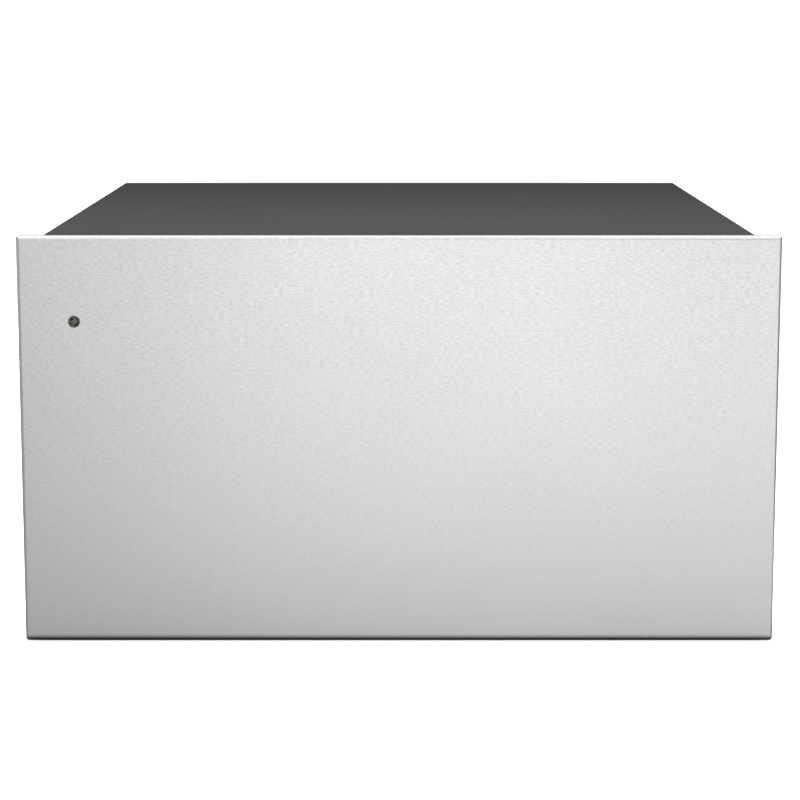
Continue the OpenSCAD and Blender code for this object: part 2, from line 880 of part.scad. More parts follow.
// Lamp holder that reaches from the fascia to the casing's front edge
module pilot_lamp() {
    reach = fascia_recess - lamp_gap;
    color("whitesmoke") translate([x_pilot, y_fascia, z_pilot]) facing_front() difference() {
        union() {
            translate([0, 0, -fascia_t - lamp_tail]) cylinder(r = lamp_spigot_r, h = fascia_t + lamp_tail);
            cylinder(r = lamp_tube_r + 1.8, h = 1.5);
            cylinder(r = lamp_tube_r, h = reach);
        }
        translate([0, 0, reach - 4]) difference() {
            cylinder(r = lamp_tube_r - 0.8, h = 4 + over);
            cylinder(r = pipe_d / 2 - 0.5, h = 2);
            translate([0, 0, 2]) sphere(r = pipe_d / 2 - 0.5);
        }
    }
}

// Mains connection

module terminal_cover() {
    color([0.15, 0.15, 0.16]) difference() {
        union() {
            translate([rear_box_x, 0, z_box]) along_y(y_back_panel, y_box_end) {
                rounded(rear_box_w, rear_box_h, box_corner_r);
            }
            translate([rear_box_x, 0, z_box]) along_y(y_back_panel, y_back_panel + rear_box_wall) {
                rounded(rear_box_w + 2 * box_ear, rear_box_h / 3, box_corner_r);
            }
        }
        translate([rear_box_x, 0, z_box]) along_y(y_back_panel - over, y_box_end - rear_box_wall) {
            rounded(rear_box_in_w, rear_box_in_h, box_corner_r - rear_box_wall);
        }
        translate([rear_box_x, y_gland, z_gland - over]) {
            cylinder(r = gland_thread_d / 2 + screw_clear, h = rear_box_wall + 2 * over);
        }
        at_box_screws() screw_hole(screw_len);
    }
}

module terminal_block() {
    poles = 3;
    color("ivory") difference() {
        translate([rear_box_x, 0, z_block]) {
            along_y(y_back_panel - sheet - block_in, y_back_panel + block_out) {
                square([block_w, block_h], center = true);
            }
            along_y(y_back_panel, y_back_panel + block_flange_t) {
                square([block_w + 2 * block_flange, block_h + 2 * block_flange], center = true);
            }
        }
        for (i = [0:poles - 1]) {
            x = rear_box_x + (i - (poles - 1) / 2) * block_w / poles;
            translate([x, y_back_panel + block_out + over, z_block]) {
                facing_front() cylinder(r = pole_r, h = pole_depth + over);
            }
        }
    }
}

// Cord gland through the lower wall of the terminal cover, open for the cord
module cable_gland() {
    color([0.2, 0.2, 0.2]) translate([rear_box_x, y_gland, z_gland]) difference() {
        union() {
            translate([0, 0, -gland_hex_t]) cylinder(r = gland_hex_r, h = gland_hex_t, $fn = 6);
            translate([0, 0, -gland_hex_t - gland_collar_l]) cylinder(d = gland_collar_d, h = gland_collar_l);
            translate([0, 0, -gland_low]) {
                cylinder(d1 = gland_bore_d + 2.4, d2 = gland_collar_d, h = gland_dome_l - gland_collar_l);
            }
            cylinder(d = gland_thread_d, h = gland_high);
        }
        translate([0, 0, -gland_low - over]) {
            cylinder(d = gland_bore_d, h = gland_low + gland_high + 2 * over);
        }
    }
}

module gland_locknut() {
    color([0.2, 0.2, 0.2]) translate([rear_box_x, y_gland, z_gland + rear_box_wall]) difference() {
        cylinder(r = gland_hex_r - 0.2, h = gland_nut_t, $fn = 6);
        translate([0, 0, -over]) cylinder(r = gland_thread_d / 2 + screw_clear, h = gland_nut_t + 2 * over);
    }
}

// Push-in foot: a chamfered pad, a stem and a snap head above the base
module feet() {
    color([0.08, 0.08, 0.08]) at_feet() rotate_extrude() {
        polygon([
            [0, 0], [foot_d / 2 - foot_chamfer, 0], [foot_d / 2, foot_chamfer], [foot_d / 2, foot_h],
            [foot_stem_r, foot_h], [foot_stem_r, foot_h + sheet], [foot_head_r, foot_h + sheet],
            [foot_stem_r, foot_h + sheet + foot_head_h], [0, foot_h + sheet + foot_head_h]
        ]);
    }
}

module cover_screws() {
    color("silver") {
        at_cover_screws() pan_screw(screw_len);
        at_pan_screws() pan_screw(pan_sheet + sheet + 2);
    }
}

module back_screws() {
    color("silver") {
        at_back_screws() pan_screw(screw_len);
        at_box_screws() pan_screw(screw_len);
    }
}

// Runners

// C-shaped member with its web at u0 and legs of the given length, towards larger u
module rail_outline(half, legs, u0) {
    translate([u0, 0]) mirror([1, 0]) rotate(90) translate([-half, 0]) {
        folded(2 * half, legs, legs, rail_sheet, rail_bend_r);
    }
}

// Ball races on the centres of both rows
module races(u, v) {
    for (s = [-1, 1]) translate([u, s * v]) circle(race_r);
}

module rail_member(side, y0) {
    on_side(side) translate([-x_side_in, 0, z_rail]) along_y(y0, y0 + rail_len) children();
}

module outer_rail(side) {
    color("silver") difference() {
        rail_member(side, y_rail) difference() {
            rail_outline(outer_half, leg_end_u, 0);
            races(outer_ball_u, outer_ball_v);
        }
        at_rail_fixings(side) rivet_hole();
    }
}

module middle_rail(side) {
    color("gainsboro") rail_member(side, y_rail) difference() {
        rail_outline(middle_half, leg_end_u - middle_u, middle_u);
        races(outer_ball_u, outer_ball_v);
        races(inner_ball_u, inner_ball_v);
    }
}

module inner_rail(side) {
    color("silver") difference() {
        rail_member(side, y_rail) difference() {
            translate([rail_t, 0]) mirror([1, 0]) rail_outline(inner_half, rail_t - inner_leg_u, 0);
            races(inner_ball_u, inner_ball_v);
        }
        at_inner_fixings(side) screw_hole(screw_len);
    }
}

// Screws through the tub into the inner member, with their heads inside the tub
module at_inner_fixings(side) {
    for (i = [0:rail_fixings - 1]) {
        translate([side * (tub_w / 2 - tub_sheet), y_rail + rail_fix_space + rail_fix_step * i, z_rail]) {
            rotate([0, -side * 90, 0]) children();
        }
    }
}

module inner_rail_screws() {
    color("silver") for (side = [-1, 1]) at_inner_fixings(side) pan_screw(tub_sheet + rail_sheet);
}

module rail_rivets() {
    color("silver") for (side = [-1, 1]) at_rail_fixings(side) {
        translate([0, 0, -sheet - rail_sheet]) cylinder(d = rivet_d, h = sheet + rail_sheet);
        cylinder(d1 = rivet_head_d, d2 = rivet_head_d * 0.6, h = rivet_head_h);
    }
}

module ball_places(u, v) {
    for (s = [-1, 1], i = [0:balls_per_row - 1]) {
        translate([-x_side_in + u, y_cage + ball_pitch * (i + 0.5), z_rail + s * v]) children();
    }
}

module ball_cage(side, web_u, u, v) {
    reach = u + ball_d / 2 + pocket_clear + pocket_rim - web_u;
    color("darkkhaki") on_side(side) difference() {
        translate([-x_side_in, 0, z_rail]) along_y(y_cage, y_cage + cage_len) {
            translate([web_u, 0]) mirror([1, 0]) rotate(90) translate([-v - cage_sheet / 2, 0]) {
                folded(2 * v + cage_sheet, reach, reach, cage_sheet, cage_sheet + 0.3);
            }
        }
        ball_places(u, v) cylinder(r = ball_d / 2 + pocket_clear, h = 2 * ball_d, center = true);
    }
}

module balls(side, u, v) {
    color("silver") on_side(side) ball_places(u, v) sphere(d = ball_d);
}

module outer_cage(side) {
    ball_cage(side, rail_sheet + cage_gap, outer_ball_u, outer_ball_v);
}

module inner_cage(side) {
    ball_cage(side, middle_u + rail_sheet + cage_gap, inner_ball_u, inner_ball_v);
}

// Front of the drawer

// Stainless sheet folded back on all four sides; the corners keep an open seam and a relief hole
module front_skin() {
    color("lightgray") difference() {
        translate([0, y_front, z_panel_mid]) rotate([-90, 0, 0]) difference() {
            tray(panel_w, panel_h, panel_t, panel_sheet, panel_bend_r);
            for (x = [-1, 1], y = [-1, 1]) {
                translate([x * panel_w / 2, y * panel_h / 2, panel_bend_r]) rotate(x * y * 45) {
                    translate([-2 * panel_bend_r, -seam_w / 2, 0]) {
                        cube([4 * panel_bend_r, seam_w, panel_t]);
                    }
                    rotate([0, 90, 0]) cylinder(r = relief_r, h = 4 * panel_bend_r, center = true);
                }
            }
        }
        at_pilot() facing_rear() translate([0, 0, -over]) {
            cylinder(r = bezel_sleeve_r + screw_clear, h = panel_sheet + 2 * over);
        }
    }
}

module front_liner() {
    color("silver") difference() {
        translate([0, y_panel_back, z_panel_mid]) rotate([90, 0, 0]) {
            tray(liner_w, liner_h, liner_fold, sheet, fold_r);
        }
        at_pilot() facing_rear() cylinder(r = pipe_hole_r, h = panel_t + over);
        at_front_screws() screw_hole(screw_len);
    }
}

module front_insulation() {
    margin = sheet + clear;
    color("khaki") difference() {
        translate([0, 0, z_panel_mid]) along_y(y_front + panel_sheet + clear, y_liner_in - clear) {
            rounded(liner_w - 2 * margin, liner_h - 2 * margin, panel_bend_r);
        }
        at_pilot() facing_rear() cylinder(r = bezel_sleeve_r + clear, h = panel_t);
    }
}

module pilot_bezel() {
    chamfer = bezel_proud / 2;
    color([0.1, 0.1, 0.1]) at_pilot() facing_front() rotate_extrude() {
        polygon([
            [pipe_hole_r, -bezel_sleeve_l], [bezel_sleeve_r, -bezel_sleeve_l], [bezel_sleeve_r, 0],
            [bezel_d / 2, 0], [bezel_d / 2, bezel_proud - chamfer], [bezel_d / 2 - chamfer, bezel_proud],
            [pipe_hole_r + chamfer, bezel_proud], [pipe_hole_r, bezel_proud - chamfer]
        ]);
    }
}

// Clear rod that carries the lamp's light to a shallow dome on the front
module light_pipe() {
    dome_h = bezel_proud * 0.75;
    dome_r = (pow(pipe_d / 2, 2) + dome_h * dome_h) / (2 * dome_h);
    color("gray") at_pilot() facing_front() {
        translate([0, 0, -panel_t - pipe_tail]) cylinder(d = pipe_d, h = panel_t + pipe_tail);
        intersection() {
            translate([0, 0, dome_h - dome_r]) sphere(r = dome_r);
            cylinder(d = pipe_d, h = dome_h);
        }
    }
}

// Seal that closes on the casing's front lips
module front_seal() {
    outer_w = case_w - 1;
    outer_h = case_h - 1;
    seal_w = lip_w - 1.5;
    bead_in = seal_w / 4;
    z_mid = z_base + case_h / 2;
    color([0.18, 0.18, 0.18]) translate([0, 0, z_mid]) {
        along_y(y_panel_back, y_panel_back + seal_base_t) difference() {
            rounded(outer_w, outer_h, seal_w);
            rounded(outer_w - 2 * seal_w, outer_h - 2 * seal_w, seal_w / 4);
        }
        along_y(y_panel_back + seal_base_t, y_case - clear) difference() {
            rounded(outer_w - 2 * bead_in, outer_h - 2 * bead_in, seal_w);
            rounded(outer_w - 2 * (seal_w - bead_in), outer_h - 2 * (seal_w - bead_in), seal_w / 4);
        }
    }
}

// Drawer tub

module tub_form(w, d, h, floor_r, corner_r) {
    intersection() {
        round_block(w, d, h, floor_r);
        linear_extrude(h) rounded(w, d, corner_r);
    }
}

module drawer_tub() {
    mid = y_panel_back + tub_d / 2;
    inner_w = tub_w - 2 * tub_sheet;
    inner_d = tub_d - 2 * tub_sheet;
    color("lightgray") difference() {
        translate([0, mid, z_tub]) difference() {
            union() {
                tub_form(tub_w, tub_d, tub_h, tub_floor_r, tub_corner_r);
                // Rim on the two sides and the rear
                translate([0, tub_rim / 2, tub_h - tub_sheet]) linear_extrude(tub_sheet) {
                    rounded(tub_w + 2 * tub_rim, tub_d + tub_rim, tub_corner_r + tub_rim);
                }
            }
            translate([0, 0, tub_sheet]) {
                tub_form(inner_w, inner_d, tub_h, tub_floor_r - tub_sheet, tub_corner_r - tub_sheet);
            }
        }
        for (side = [-1, 1]) at_inner_fixings(side) screw_hole(screw_len);
        at_front_screws() screw_hole(screw_len);
    }
}

module anti_slip_mat() {
    margin = tub_floor_r + 4;
    color([0.2, 0.2, 0.21]) translate([0, y_panel_back + tub_d / 2, z_tub + tub_sheet]) {
        linear_extrude(mat_t) rounded(tub_w - 2 * margin, tub_d - 2 * margin, tub_corner_r);
    }
}

module front_screws() {
    color("silver") at_front_screws() pan_screw(tub_sheet + sheet);
}

module strike_plate() {
    color("silver") translate([0, 0, z_latch]) along_y(y_strike, y_strike + strike_t) {
        rounded(magnet_d * 2.4, magnet_d * 1.8, 3);
    }
}

// Push latch

module latch_body() {
    height = z_latch + latch_h / 2 - z_base - sheet;
    foot_t = 3;
    web_t = 10;
    color([0.85, 0.85, 0.83]) difference() {
        union() {
            translate([0, 0, z_latch]) along_y(y_latch, y_latch + latch_len) rounded(latch_w, latch_h, 4);
            translate([-web_t / 2, y_latch, z_base + sheet]) cube([web_t, latch_len, height - latch_h / 2]);
            translate([0, y_latch + latch_len / 2, z_base + sheet]) linear_extrude(foot_t) {
                rounded(latch_w * 2, latch_len, foot_t);
            }
        }
        translate([0, y_latch - over, z_latch]) facing_rear() {
            cylinder(r = plunger_d / 2 + plunger_clear, h = latch_len - latch_end_wall + over);
        }
    }
}

module latch_plunger() {
    color([0.3, 0.3, 0.3]) translate([0, y_plunger, z_latch]) facing_rear() difference() {
        cylinder(d = plunger_d, h = y_latch - y_plunger + plunger_in);
        translate([0, 0, y_latch - y_plunger + plunger_in - spring_seat]) {
            cylinder(d = plunger_d - 2, h = spring_seat + over);
        }
    }
}

module latch_magnet() {
    color("gray") translate([0, y_magnet, z_latch]) facing_rear() cylinder(d = magnet_d, h = magnet_t);
}

// Open helix of round wire; the rings of the tube follow the helix
module latch_spring() {
    mean_r = plunger_d / 2 - 1 - clear - spring_wire / 2;
    y0 = y_latch + plunger_in - spring_seat + spring_wire / 2 + 0.05;
    y1 = y_latch + latch_len - latch_end_wall - spring_wire / 2 - 0.05;
    steps = spring_turns * spring_rings;
    pitch = (y1 - y0) / spring_turns;
    echo(spring_gap = pitch - spring_wire);
    points = [
        for (i = [0:steps], k = [0:spring_sides - 1])
            let (a = 360 * i / spring_rings, b = 360 * k / spring_sides)
            let (r = mean_r + spring_wire / 2 * cos(b))
                [r * cos(a), y0 + (y1 - y0) * i / steps + spring_wire / 2 * sin(b), z_latch + r * sin(a)]
    ];
    sides = [
        for (i = [0:steps - 1], k = [0:spring_sides - 1], t = [0, 1])
            let (a = i * spring_sides + k, b = i * spring_sides + (k + 1) % spring_sides)
                t == 0 ? [a, b, b + spring_sides] : [a, b + spring_sides, a + spring_sides]
    ];
    last = steps * spring_sides;
    ends = [
        for (k = [1:spring_sides - 2]) [0, k + 1, k],
        for (k = [1:spring_sides - 2]) [last, last + k, last + k + 1]
    ];
    color("silver") polyhedron(points, concat(sides, ends));
}

// Moving pieces of the head

// Centrifugal rotor: curved blades under a disc, on a hub
module fan_rotor() {
    color("silver") translate([0, y_fan, 0]) difference() {
        union() {
            translate([0, 0, z_blades]) linear_extrude(blade_h) {
                for (i = [0:blade_count - 1]) rotate(360 * i / blade_count) intersection() {
                    difference() {
                        circle(r = rotor_d / 2 - blade_t);
                        circle(r = blade_in_r);
                    }
                    translate([blade_arc_c, 0]) difference() {
                        circle(r = blade_arc_r + blade_t / 2);
                        circle(r = blade_arc_r - blade_t / 2);
                    }
                    square(rotor_d);
                }
            }
            translate([0, 0, z_disc]) cylinder(d = rotor_d, h = blade_t);
            translate([0, 0, z_disc - hub_top]) cylinder(d = hub_d, h = 2 * hub_top);
        }
        translate([0, 0, z_blades]) {
            cylinder(r = fan_shaft_d / 2 + fan_shaft_clear, h = blade_h + 2 * hub_top);
        }
    }
}

module fan_shaft() {
    color("gray") translate([0, y_fan, z_disc - hub_top]) {
        cylinder(d = fan_shaft_d, h = z_motor + shaft_in_motor - clear - (z_disc - hub_top));
    }
}

// Fluted knob with a skirt, a pointer groove and a hollow that clears the bush nut
module temperature_knob() {
    flutes = 20;
    flute_r = 1.5;
    skirt_h = 2.5;
    y_seat = y_fascia - knob_gap;
    color([0.1, 0.1, 0.1]) translate([x_knob, y_seat, z_controls]) facing_front() difference() {
        union() {
            cylinder(d = knob_d + 4, h = skirt_h);
            cylinder(d = knob_d, h = knob_h - 1);
            translate([0, 0, knob_h - 1]) cylinder(d1 = knob_d, d2 = knob_d - 2, h = 1);
        }
        for (i = [0:flutes - 1]) rotate(360 * i / flutes) {
            translate([knob_d / 2 + flute_r * 0.45, 0, skirt_h]) cylinder(r = flute_r, h = knob_h);
        }
        translate([-0.8, knob_d / 6, knob_h - 0.8]) cube([1.6, knob_d / 2, 2]);
        translate([0, 0, -over]) cylinder(d = knob_rear_bore_d, h = knob_rear_bore_l + over);
        translate([0, 0, -over]) {
            cylinder(r = knob_shaft_d / 2 + knob_shaft_clear, h = shaft_into_knob + over);
        }
    }
}

module knob_shaft() {
    y_tip = y_fascia - knob_gap - shaft_into_knob + clear;
    color("gray") translate([x_knob, y_tip, z_controls]) facing_rear() {
        cylinder(d = knob_shaft_d, h = y_fascia_back + thermostat_d * 0.6 - clear - y_tip);
    }
}

// Rocker, stored tilted to its off side
module power_rocker() {
    half = rocker_l / 2;
    color([0.75, 0.08, 0.06]) translate([x_rocker, y_rocker_face + rocker_pivot_in, z_controls]) {
        rotate([-rocker_tilt, 0, 0]) {
            along_x(rocker_w) polygon([
                [0.5, half], [-4, half], [-2.8, 0], [-4, -half], [0.5, -half],
                [4.5, -half / 3], [4.5, half / 3]
            ]);
            rotate([0, 90, 0]) cylinder(r = rocker_pin_r, h = rocker_body_w - 0.4, center = true);
        }
    }
}

base_panel();
side_panel(-1);  // left_side_panel
side_panel(1);  // right_side_panel
top_cover();
back_panel();
ceiling_grille();
heater_pan();
heating_ring();
heater_clips();
fan_motor();
motor_posts();
thermal_cutout();
control_fascia();
thermostat();
rocker_housing();
pilot_lamp();
terminal_cover();
terminal_block();
cable_gland();
gland_locknut();
outer_rail(-1);  // left_outer_rail
outer_rail(1);  // right_outer_rail
rail_rivets();
latch_body();
latch_spring();
feet();
cover_screws();
back_screws();
front_skin();
front_liner();
front_insulation();
pilot_bezel();
light_pipe();
front_seal();
drawer_tub();
anti_slip_mat();
inner_rail(-1);  // left_inner_rail
inner_rail(1);  // right_inner_rail
inner_rail_screws();
front_screws();
strike_plate();
middle_rail(-1);  // left_middle_rail
middle_rail(1);  // right_middle_rail
outer_cage(-1);  // left_outer_cage
outer_cage(1);  // right_outer_cage
balls(-1, outer_ball_u, outer_ball_v);  // left_outer_balls
balls(1, outer_ball_u, outer_ball_v);  // right_outer_balls
inner_cage(-1);  // left_inner_cage
inner_cage(1);  // right_inner_cage
balls(-1, inner_ball_u, inner_ball_v);  // left_inner_balls
balls(1, inner_ball_u, inner_ball_v);  // right_inner_balls
fan_rotor();
fan_shaft();
temperature_knob();
knob_shaft();
power_rocker();
latch_plunger();
latch_magnet();
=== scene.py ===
"""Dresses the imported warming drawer: finishes, small parts, studio light and camera.

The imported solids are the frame. Each class below is one sub-assembly: it gives its solids their
finish and adds the pieces that need a finer form, such as the studded mat, the screws and the scale.
Sizes are in millimetres and become metres where a mesh is made.
"""

import json
import logging
import math
from collections.abc import Iterable, Sequence
from dataclasses import dataclass
from enum import Enum
from typing import NamedTuple

import bmesh
import bpy
from bpy.types import ID, Material, Mesh, Node, NodeSocket, NodeTree, Object
from mathutils import Matrix, Vector


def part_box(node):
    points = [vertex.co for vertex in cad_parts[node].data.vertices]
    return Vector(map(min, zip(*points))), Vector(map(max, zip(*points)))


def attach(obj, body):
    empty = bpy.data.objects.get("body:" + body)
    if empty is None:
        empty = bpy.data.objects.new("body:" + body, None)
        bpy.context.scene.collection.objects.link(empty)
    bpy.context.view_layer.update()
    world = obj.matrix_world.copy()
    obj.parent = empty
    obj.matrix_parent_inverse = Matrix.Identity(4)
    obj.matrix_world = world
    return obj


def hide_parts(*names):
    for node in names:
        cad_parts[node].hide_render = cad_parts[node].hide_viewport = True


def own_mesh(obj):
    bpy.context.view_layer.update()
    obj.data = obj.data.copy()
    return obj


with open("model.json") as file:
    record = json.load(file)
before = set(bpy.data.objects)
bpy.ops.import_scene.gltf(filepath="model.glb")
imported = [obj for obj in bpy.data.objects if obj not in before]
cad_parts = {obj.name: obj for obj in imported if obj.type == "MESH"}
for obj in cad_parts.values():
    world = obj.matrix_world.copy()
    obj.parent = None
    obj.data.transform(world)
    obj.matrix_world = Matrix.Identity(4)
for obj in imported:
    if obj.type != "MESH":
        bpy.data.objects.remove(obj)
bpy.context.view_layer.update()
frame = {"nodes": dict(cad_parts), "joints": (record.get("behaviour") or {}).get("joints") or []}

MM = 0.001
# Points that lie closer than this are one
MERGED = 0.0005 * MM
# Height of a figure, as a share of the font's size
FIGURE_SHARE = 0.69
# Noise lies about its middle and hardly goes further from it than its reach
NOISE_MIDDLE, NOISE_REACH = 0.5, 0.3
# Cosines between the true and the softened normal at which an edge begins to be rubbed, and is bare
RUBBED = (0.99, 0.75)
# Heights of the grain between which a rubbed edge is broken up
BROKEN = (0.35, 0.65)

Pair = tuple[float, float]
Pairs = tuple[Pair, ...]
Point = tuple[float, float, float]
log = logging.getLogger("warming_drawer")


class Body(Enum):
    """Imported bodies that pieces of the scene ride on."""

    CASING = "casing"
    DRAWER = "drawer"
    KNOB = "knob"
    ROCKER = "rocker"


class Slot(Enum):
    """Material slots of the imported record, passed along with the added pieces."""

    ZINC = "zinc_steel"
    BLACK_PLASTIC = "black_plastic"
    PALE_PLASTIC = "pale_plastic"
    LENS = "lens_smoke"
    RUBBER = "black_rubber"
    WOOL = "mineral_wool"


class Facing(Enum):
    """Turns a form drawn upwards, along +Z, to the way that it faces on the drawer."""

    UP = Matrix.Identity(4)
    FRONT = Matrix.Rotation(math.radians(90), 4, "X")
    REAR = Matrix.Rotation(math.radians(-90), 4, "X")


# Node trees

# Kinds of node that are added often
MATH = "ShaderNodeMath"
VECTOR_MATH = "ShaderNodeVectorMath"
MAP_RANGE = "ShaderNodeMapRange"
NOISE = "ShaderNodeTexNoise"
MIX = "ShaderNodeMix"
SEPARATE = "ShaderNodeSeparateXYZ"
COMBINE = "ShaderNodeCombineXYZ"
MAPPING = "ShaderNodeMapping"
BUMP = "ShaderNodeBump"
COORDINATES = "ShaderNodeTexCoord"


def srgb(code: str) -> tuple[float, float, float, float]:
    """Turns an sRGB hex value into linear colour.

    Args:
        code: Colour as #rrggbb.

    Returns:
        Linear red, green, blue and an alpha of one.
    """
    parts = [int(code[i : i + 2], 16) / 255 for i in (1, 3, 5)]
    linear = [c / 12.92 if c <= 0.04045 else ((c + 0.055) / 1.055) ** 2.4 for c in parts]
    return (*linear, 1.0)


def per_mm(size: float) -> float:
    """Returns the texture scale at which one cell of a pattern measures this many millimetres."""
    return 1 / (size * MM)


def socket(sockets: Iterable[NodeSocket], key: str | int) -> NodeSocket:
    """Finds a socket that is in use.

    Args:
        sockets: Inputs or outputs of a node.
        key: Name of the socket, or its place in the list.

    Returns:
        The first enabled socket of that name, or the one at that place.
    """
    if isinstance(key, int):
        return sockets[key]
    return next(s for s in sockets if s.name == key and s.enabled)


def feed(tree: NodeTree, node: Node, inputs: dict[str | int, object]) -> Node:
    """Sets or links inputs of a node.

    Args:
        tree: Tree of the node.
        node: Node to feed.
        inputs: Value for each input by name or place: a number, a socket, or a node whose first
            output is meant.

    Returns:
        The same node.
    """
    for key, value in inputs.items():
        target = socket(node.inputs, key)
        if isinstance(value, Node):
            value = next(s for s in value.outputs if s.enabled)
        if isinstance(value, NodeSocket):
            tree.links.new(value, target)
        else:
            target.default_value = value
    return node


def add(tree: NodeTree, kind: str, inputs: dict[str | int, object] | None = None, **settings: object) -> Node:
    """Adds a node with its settings and links.

    Args:
        tree: Tree that the node joins.
        kind: Blender's name for the kind of node.
        inputs: Value for each input, as feed takes it.
        **settings: Properties of the node.

    Returns:
        The new node.
    """
    node = tree.nodes.new(kind)
    for name, value in settings.items():
        setattr(node, name, value)
    return feed(tree, node, inputs or {})


def shape_tree(name: str, **inputs: str) -> tuple[NodeTree, dict[str, NodeSocket]]:
    """Starts a Geometry Nodes tree with named inputs.

    Args:
        name: Name of the tree.
        **inputs: Socket type of each named input, without its prefix.

    Returns:
        The tree and what its inputs give, by name, with the geometry and the surface among them.
    """
    tree = bpy.data.node_groups.new(name, "GeometryNodeTree")
    for label, kind in {"Geometry": "Geometry", **inputs, "Surface": "Material"}.items():
        tree.interface.new_socket(label, in_out="INPUT", socket_type="NodeSocket" + kind)
    tree.interface.new_socket("Geometry", in_out="OUTPUT", socket_type="NodeSocketGeometry")
    given = add(tree, "NodeGroupInput").outputs
    return tree, {label: given[label] for label in ("Geometry", *inputs, "Surface")}


def close_tree(tree: NodeTree, shape: Node, surface: NodeSocket) -> NodeTree:
    """Ends a Geometry Nodes tree in real geometry with its material.

    Args:
        tree: Tree to end.
        shape: Node whose first output is the finished shape.
        surface: Material of the shape.

    Returns:
        The same tree.
    """
    real = add(tree, "GeometryNodeRealizeInstances", {"Geometry": shape})
    dressed = add(tree, "GeometryNodeSetMaterial", {"Geometry": real, "Material": surface})
    add(tree, "NodeGroupOutput", {"Geometry": dressed})
    return tree


# Objects and meshes


def placed(name: str, data: ID) -> Object:
    """Makes an object in the scene.

    Args:
        name: Name of the object.
        data: Its mesh, text, lamp or camera.

    Returns:
        The object.
    """
    piece = bpy.data.objects.new(name, data)
    bpy.context.scene.collection.objects.link(piece)
    return piece


def plain(carrier: Object, *helpers: Object) -> Mesh:
    """Makes a plain mesh of what an object's text or modifiers give, and clears the object away.

    Args:
        carrier: Object with the text or the modifiers.
        *helpers: Objects that the modifiers need, which are cleared away too.

    Returns:
        The mesh.
    """
    graph = bpy.context.evaluated_depsgraph_get()
    mesh = bpy.data.meshes.new_from_object(carrier.evaluated_get(graph))
    carrier.modifiers.clear()
    for piece in (carrier, *helpers):
        bpy.data.objects.remove(piece)
    return mesh


def grown(start: Mesh, tree: NodeTree, **values: object) -> Mesh:
    """Runs a Geometry Nodes tree once and keeps its result as a plain mesh.

    Args:
        start: Mesh that the tree begins with.
        tree: Tree to run.
        **values: Value of each named input.

    Returns:
        The plain mesh.
    """
    carrier = placed(tree.name, start)
    modifier = carrier.modifiers.new(tree.name, "NODES")
    modifier.node_group = tree
    for item in tree.interface.items_tree:
        if item.in_out == "INPUT" and item.name in values:
            modifier[item.identifier] = values[item.name]
    return plain(carrier)


def boxed(node: str) -> tuple[Vector, Vector, Vector]:
    """Returns the lowest corner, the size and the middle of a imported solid, in millimetres."""
    low, high = (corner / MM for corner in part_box(node))
    return low, high - low, (low + high) / 2


def ring(radius: float, height: float, count: int) -> list[Point]:
    """Returns the points of a level circle, in millimetres."""
    turns = (2 * math.pi * i / count for i in range(count))
    return [(radius * math.cos(a), radius * math.sin(a), height) for a in turns]


def rounded_ring(width: float, depth: float, corner: float, height: float, steps: int = 6) -> list[Point]:
    """Draws a level rectangle with round corners.

    Args:
        width: Size along x.
        depth: Size along y.
        corner: Radius of the corners.
        height: Height of the loop.
        steps: Spans along each corner.

    Returns:
        The loop's points in order, in millimetres.
    """
    points = []
    for quarter, (sx, sy) in enumerate(((1, 1), (-1, 1), (-1, -1), (1, -1))):
        for i in range(steps + 1):
            angle = (quarter + i / steps) * math.pi / 2
            x = sx * (width / 2 - corner) + corner * math.cos(angle)
            points.append((x, sy * (depth / 2 - corner) + corner * math.sin(angle), height))
    return points


def stacked(loops: Sequence[Sequence[Point]], capped: bool = True) -> Mesh:
    """Skins a stack of loops that have the same number of points.

    Args:
        loops: Loops from one end to the other, in millimetres.
        capped: Closes both ends with a face. Otherwise the loops close the form themselves.

    Returns:
        A closed mesh in metres with its normals outwards.
    """
    bm = bmesh.new()
    rows = [[bm.verts.new(Vector(p) * MM) for p in loop] for loop in loops]
    for low, high in zip(rows, rows[1:]):
        for i in range(len(low)):
            j = (i + 1) % len(low)
            bm.faces.new((low[i], low[j], high[j], high[i]))
    if capped:
        bm.faces.new(reversed(rows[0]))
        bm.faces.new(rows[-1])
    bmesh.ops.remove_doubles(bm, verts=bm.verts, dist=MERGED)
    bmesh.ops.recalc_face_normals(bm, faces=bm.faces)
    mesh = bpy.data.meshes.new("stack")
    bm.to_mesh(mesh)
    bm.free()
    return mesh


def turned(section: Pairs, sides: int) -> Mesh:
    """Returns a form turned about z, from the radius and height along its section in millimetres."""
    return stacked([ring(radius, height, sides) for radius, height in section], capped=False)


def path(points: Sequence[Point], closed: bool) -> Mesh:
    """Makes a line of edges.

    Args:
        points: Points along it, in millimetres.
        closed: Joins the last point to the first.

    Returns:
        The mesh, in metres.
    """
    mesh = bpy.data.meshes.new("path")
    count = len(points)
    edges = [(i, (i + 1) % count) for i in range(count if closed else count - 1)]
    mesh.from_pydata([Vector(p) * MM for p in points], edges, [])
    return mesh


def joined(meshes: Sequence[Mesh]) -> Mesh:
    """Puts several meshes into one.

    Args:
        meshes: Meshes to join.

    Returns:
        The one mesh, with the materials of the first.
    """
    bm = bmesh.new()
    for mesh in meshes:
        bm.from_mesh(mesh)
    result = meshes[0].copy()
    bm.to_mesh(result)
    bm.free()
    return result


def set_down(mesh: Mesh, place: Point, facing: Facing = Facing.UP) -> Mesh:
    """Turns a mesh and moves it to its place.

    Args:
        mesh: Mesh drawn around the origin.
        place: Where its origin goes, in millimetres.
        facing: Way that its +Z turns to.

    Returns:
        The same mesh.
    """
    mesh.transform(Matrix.Translation(Vector(place) * MM) @ facing.value)
    return mesh


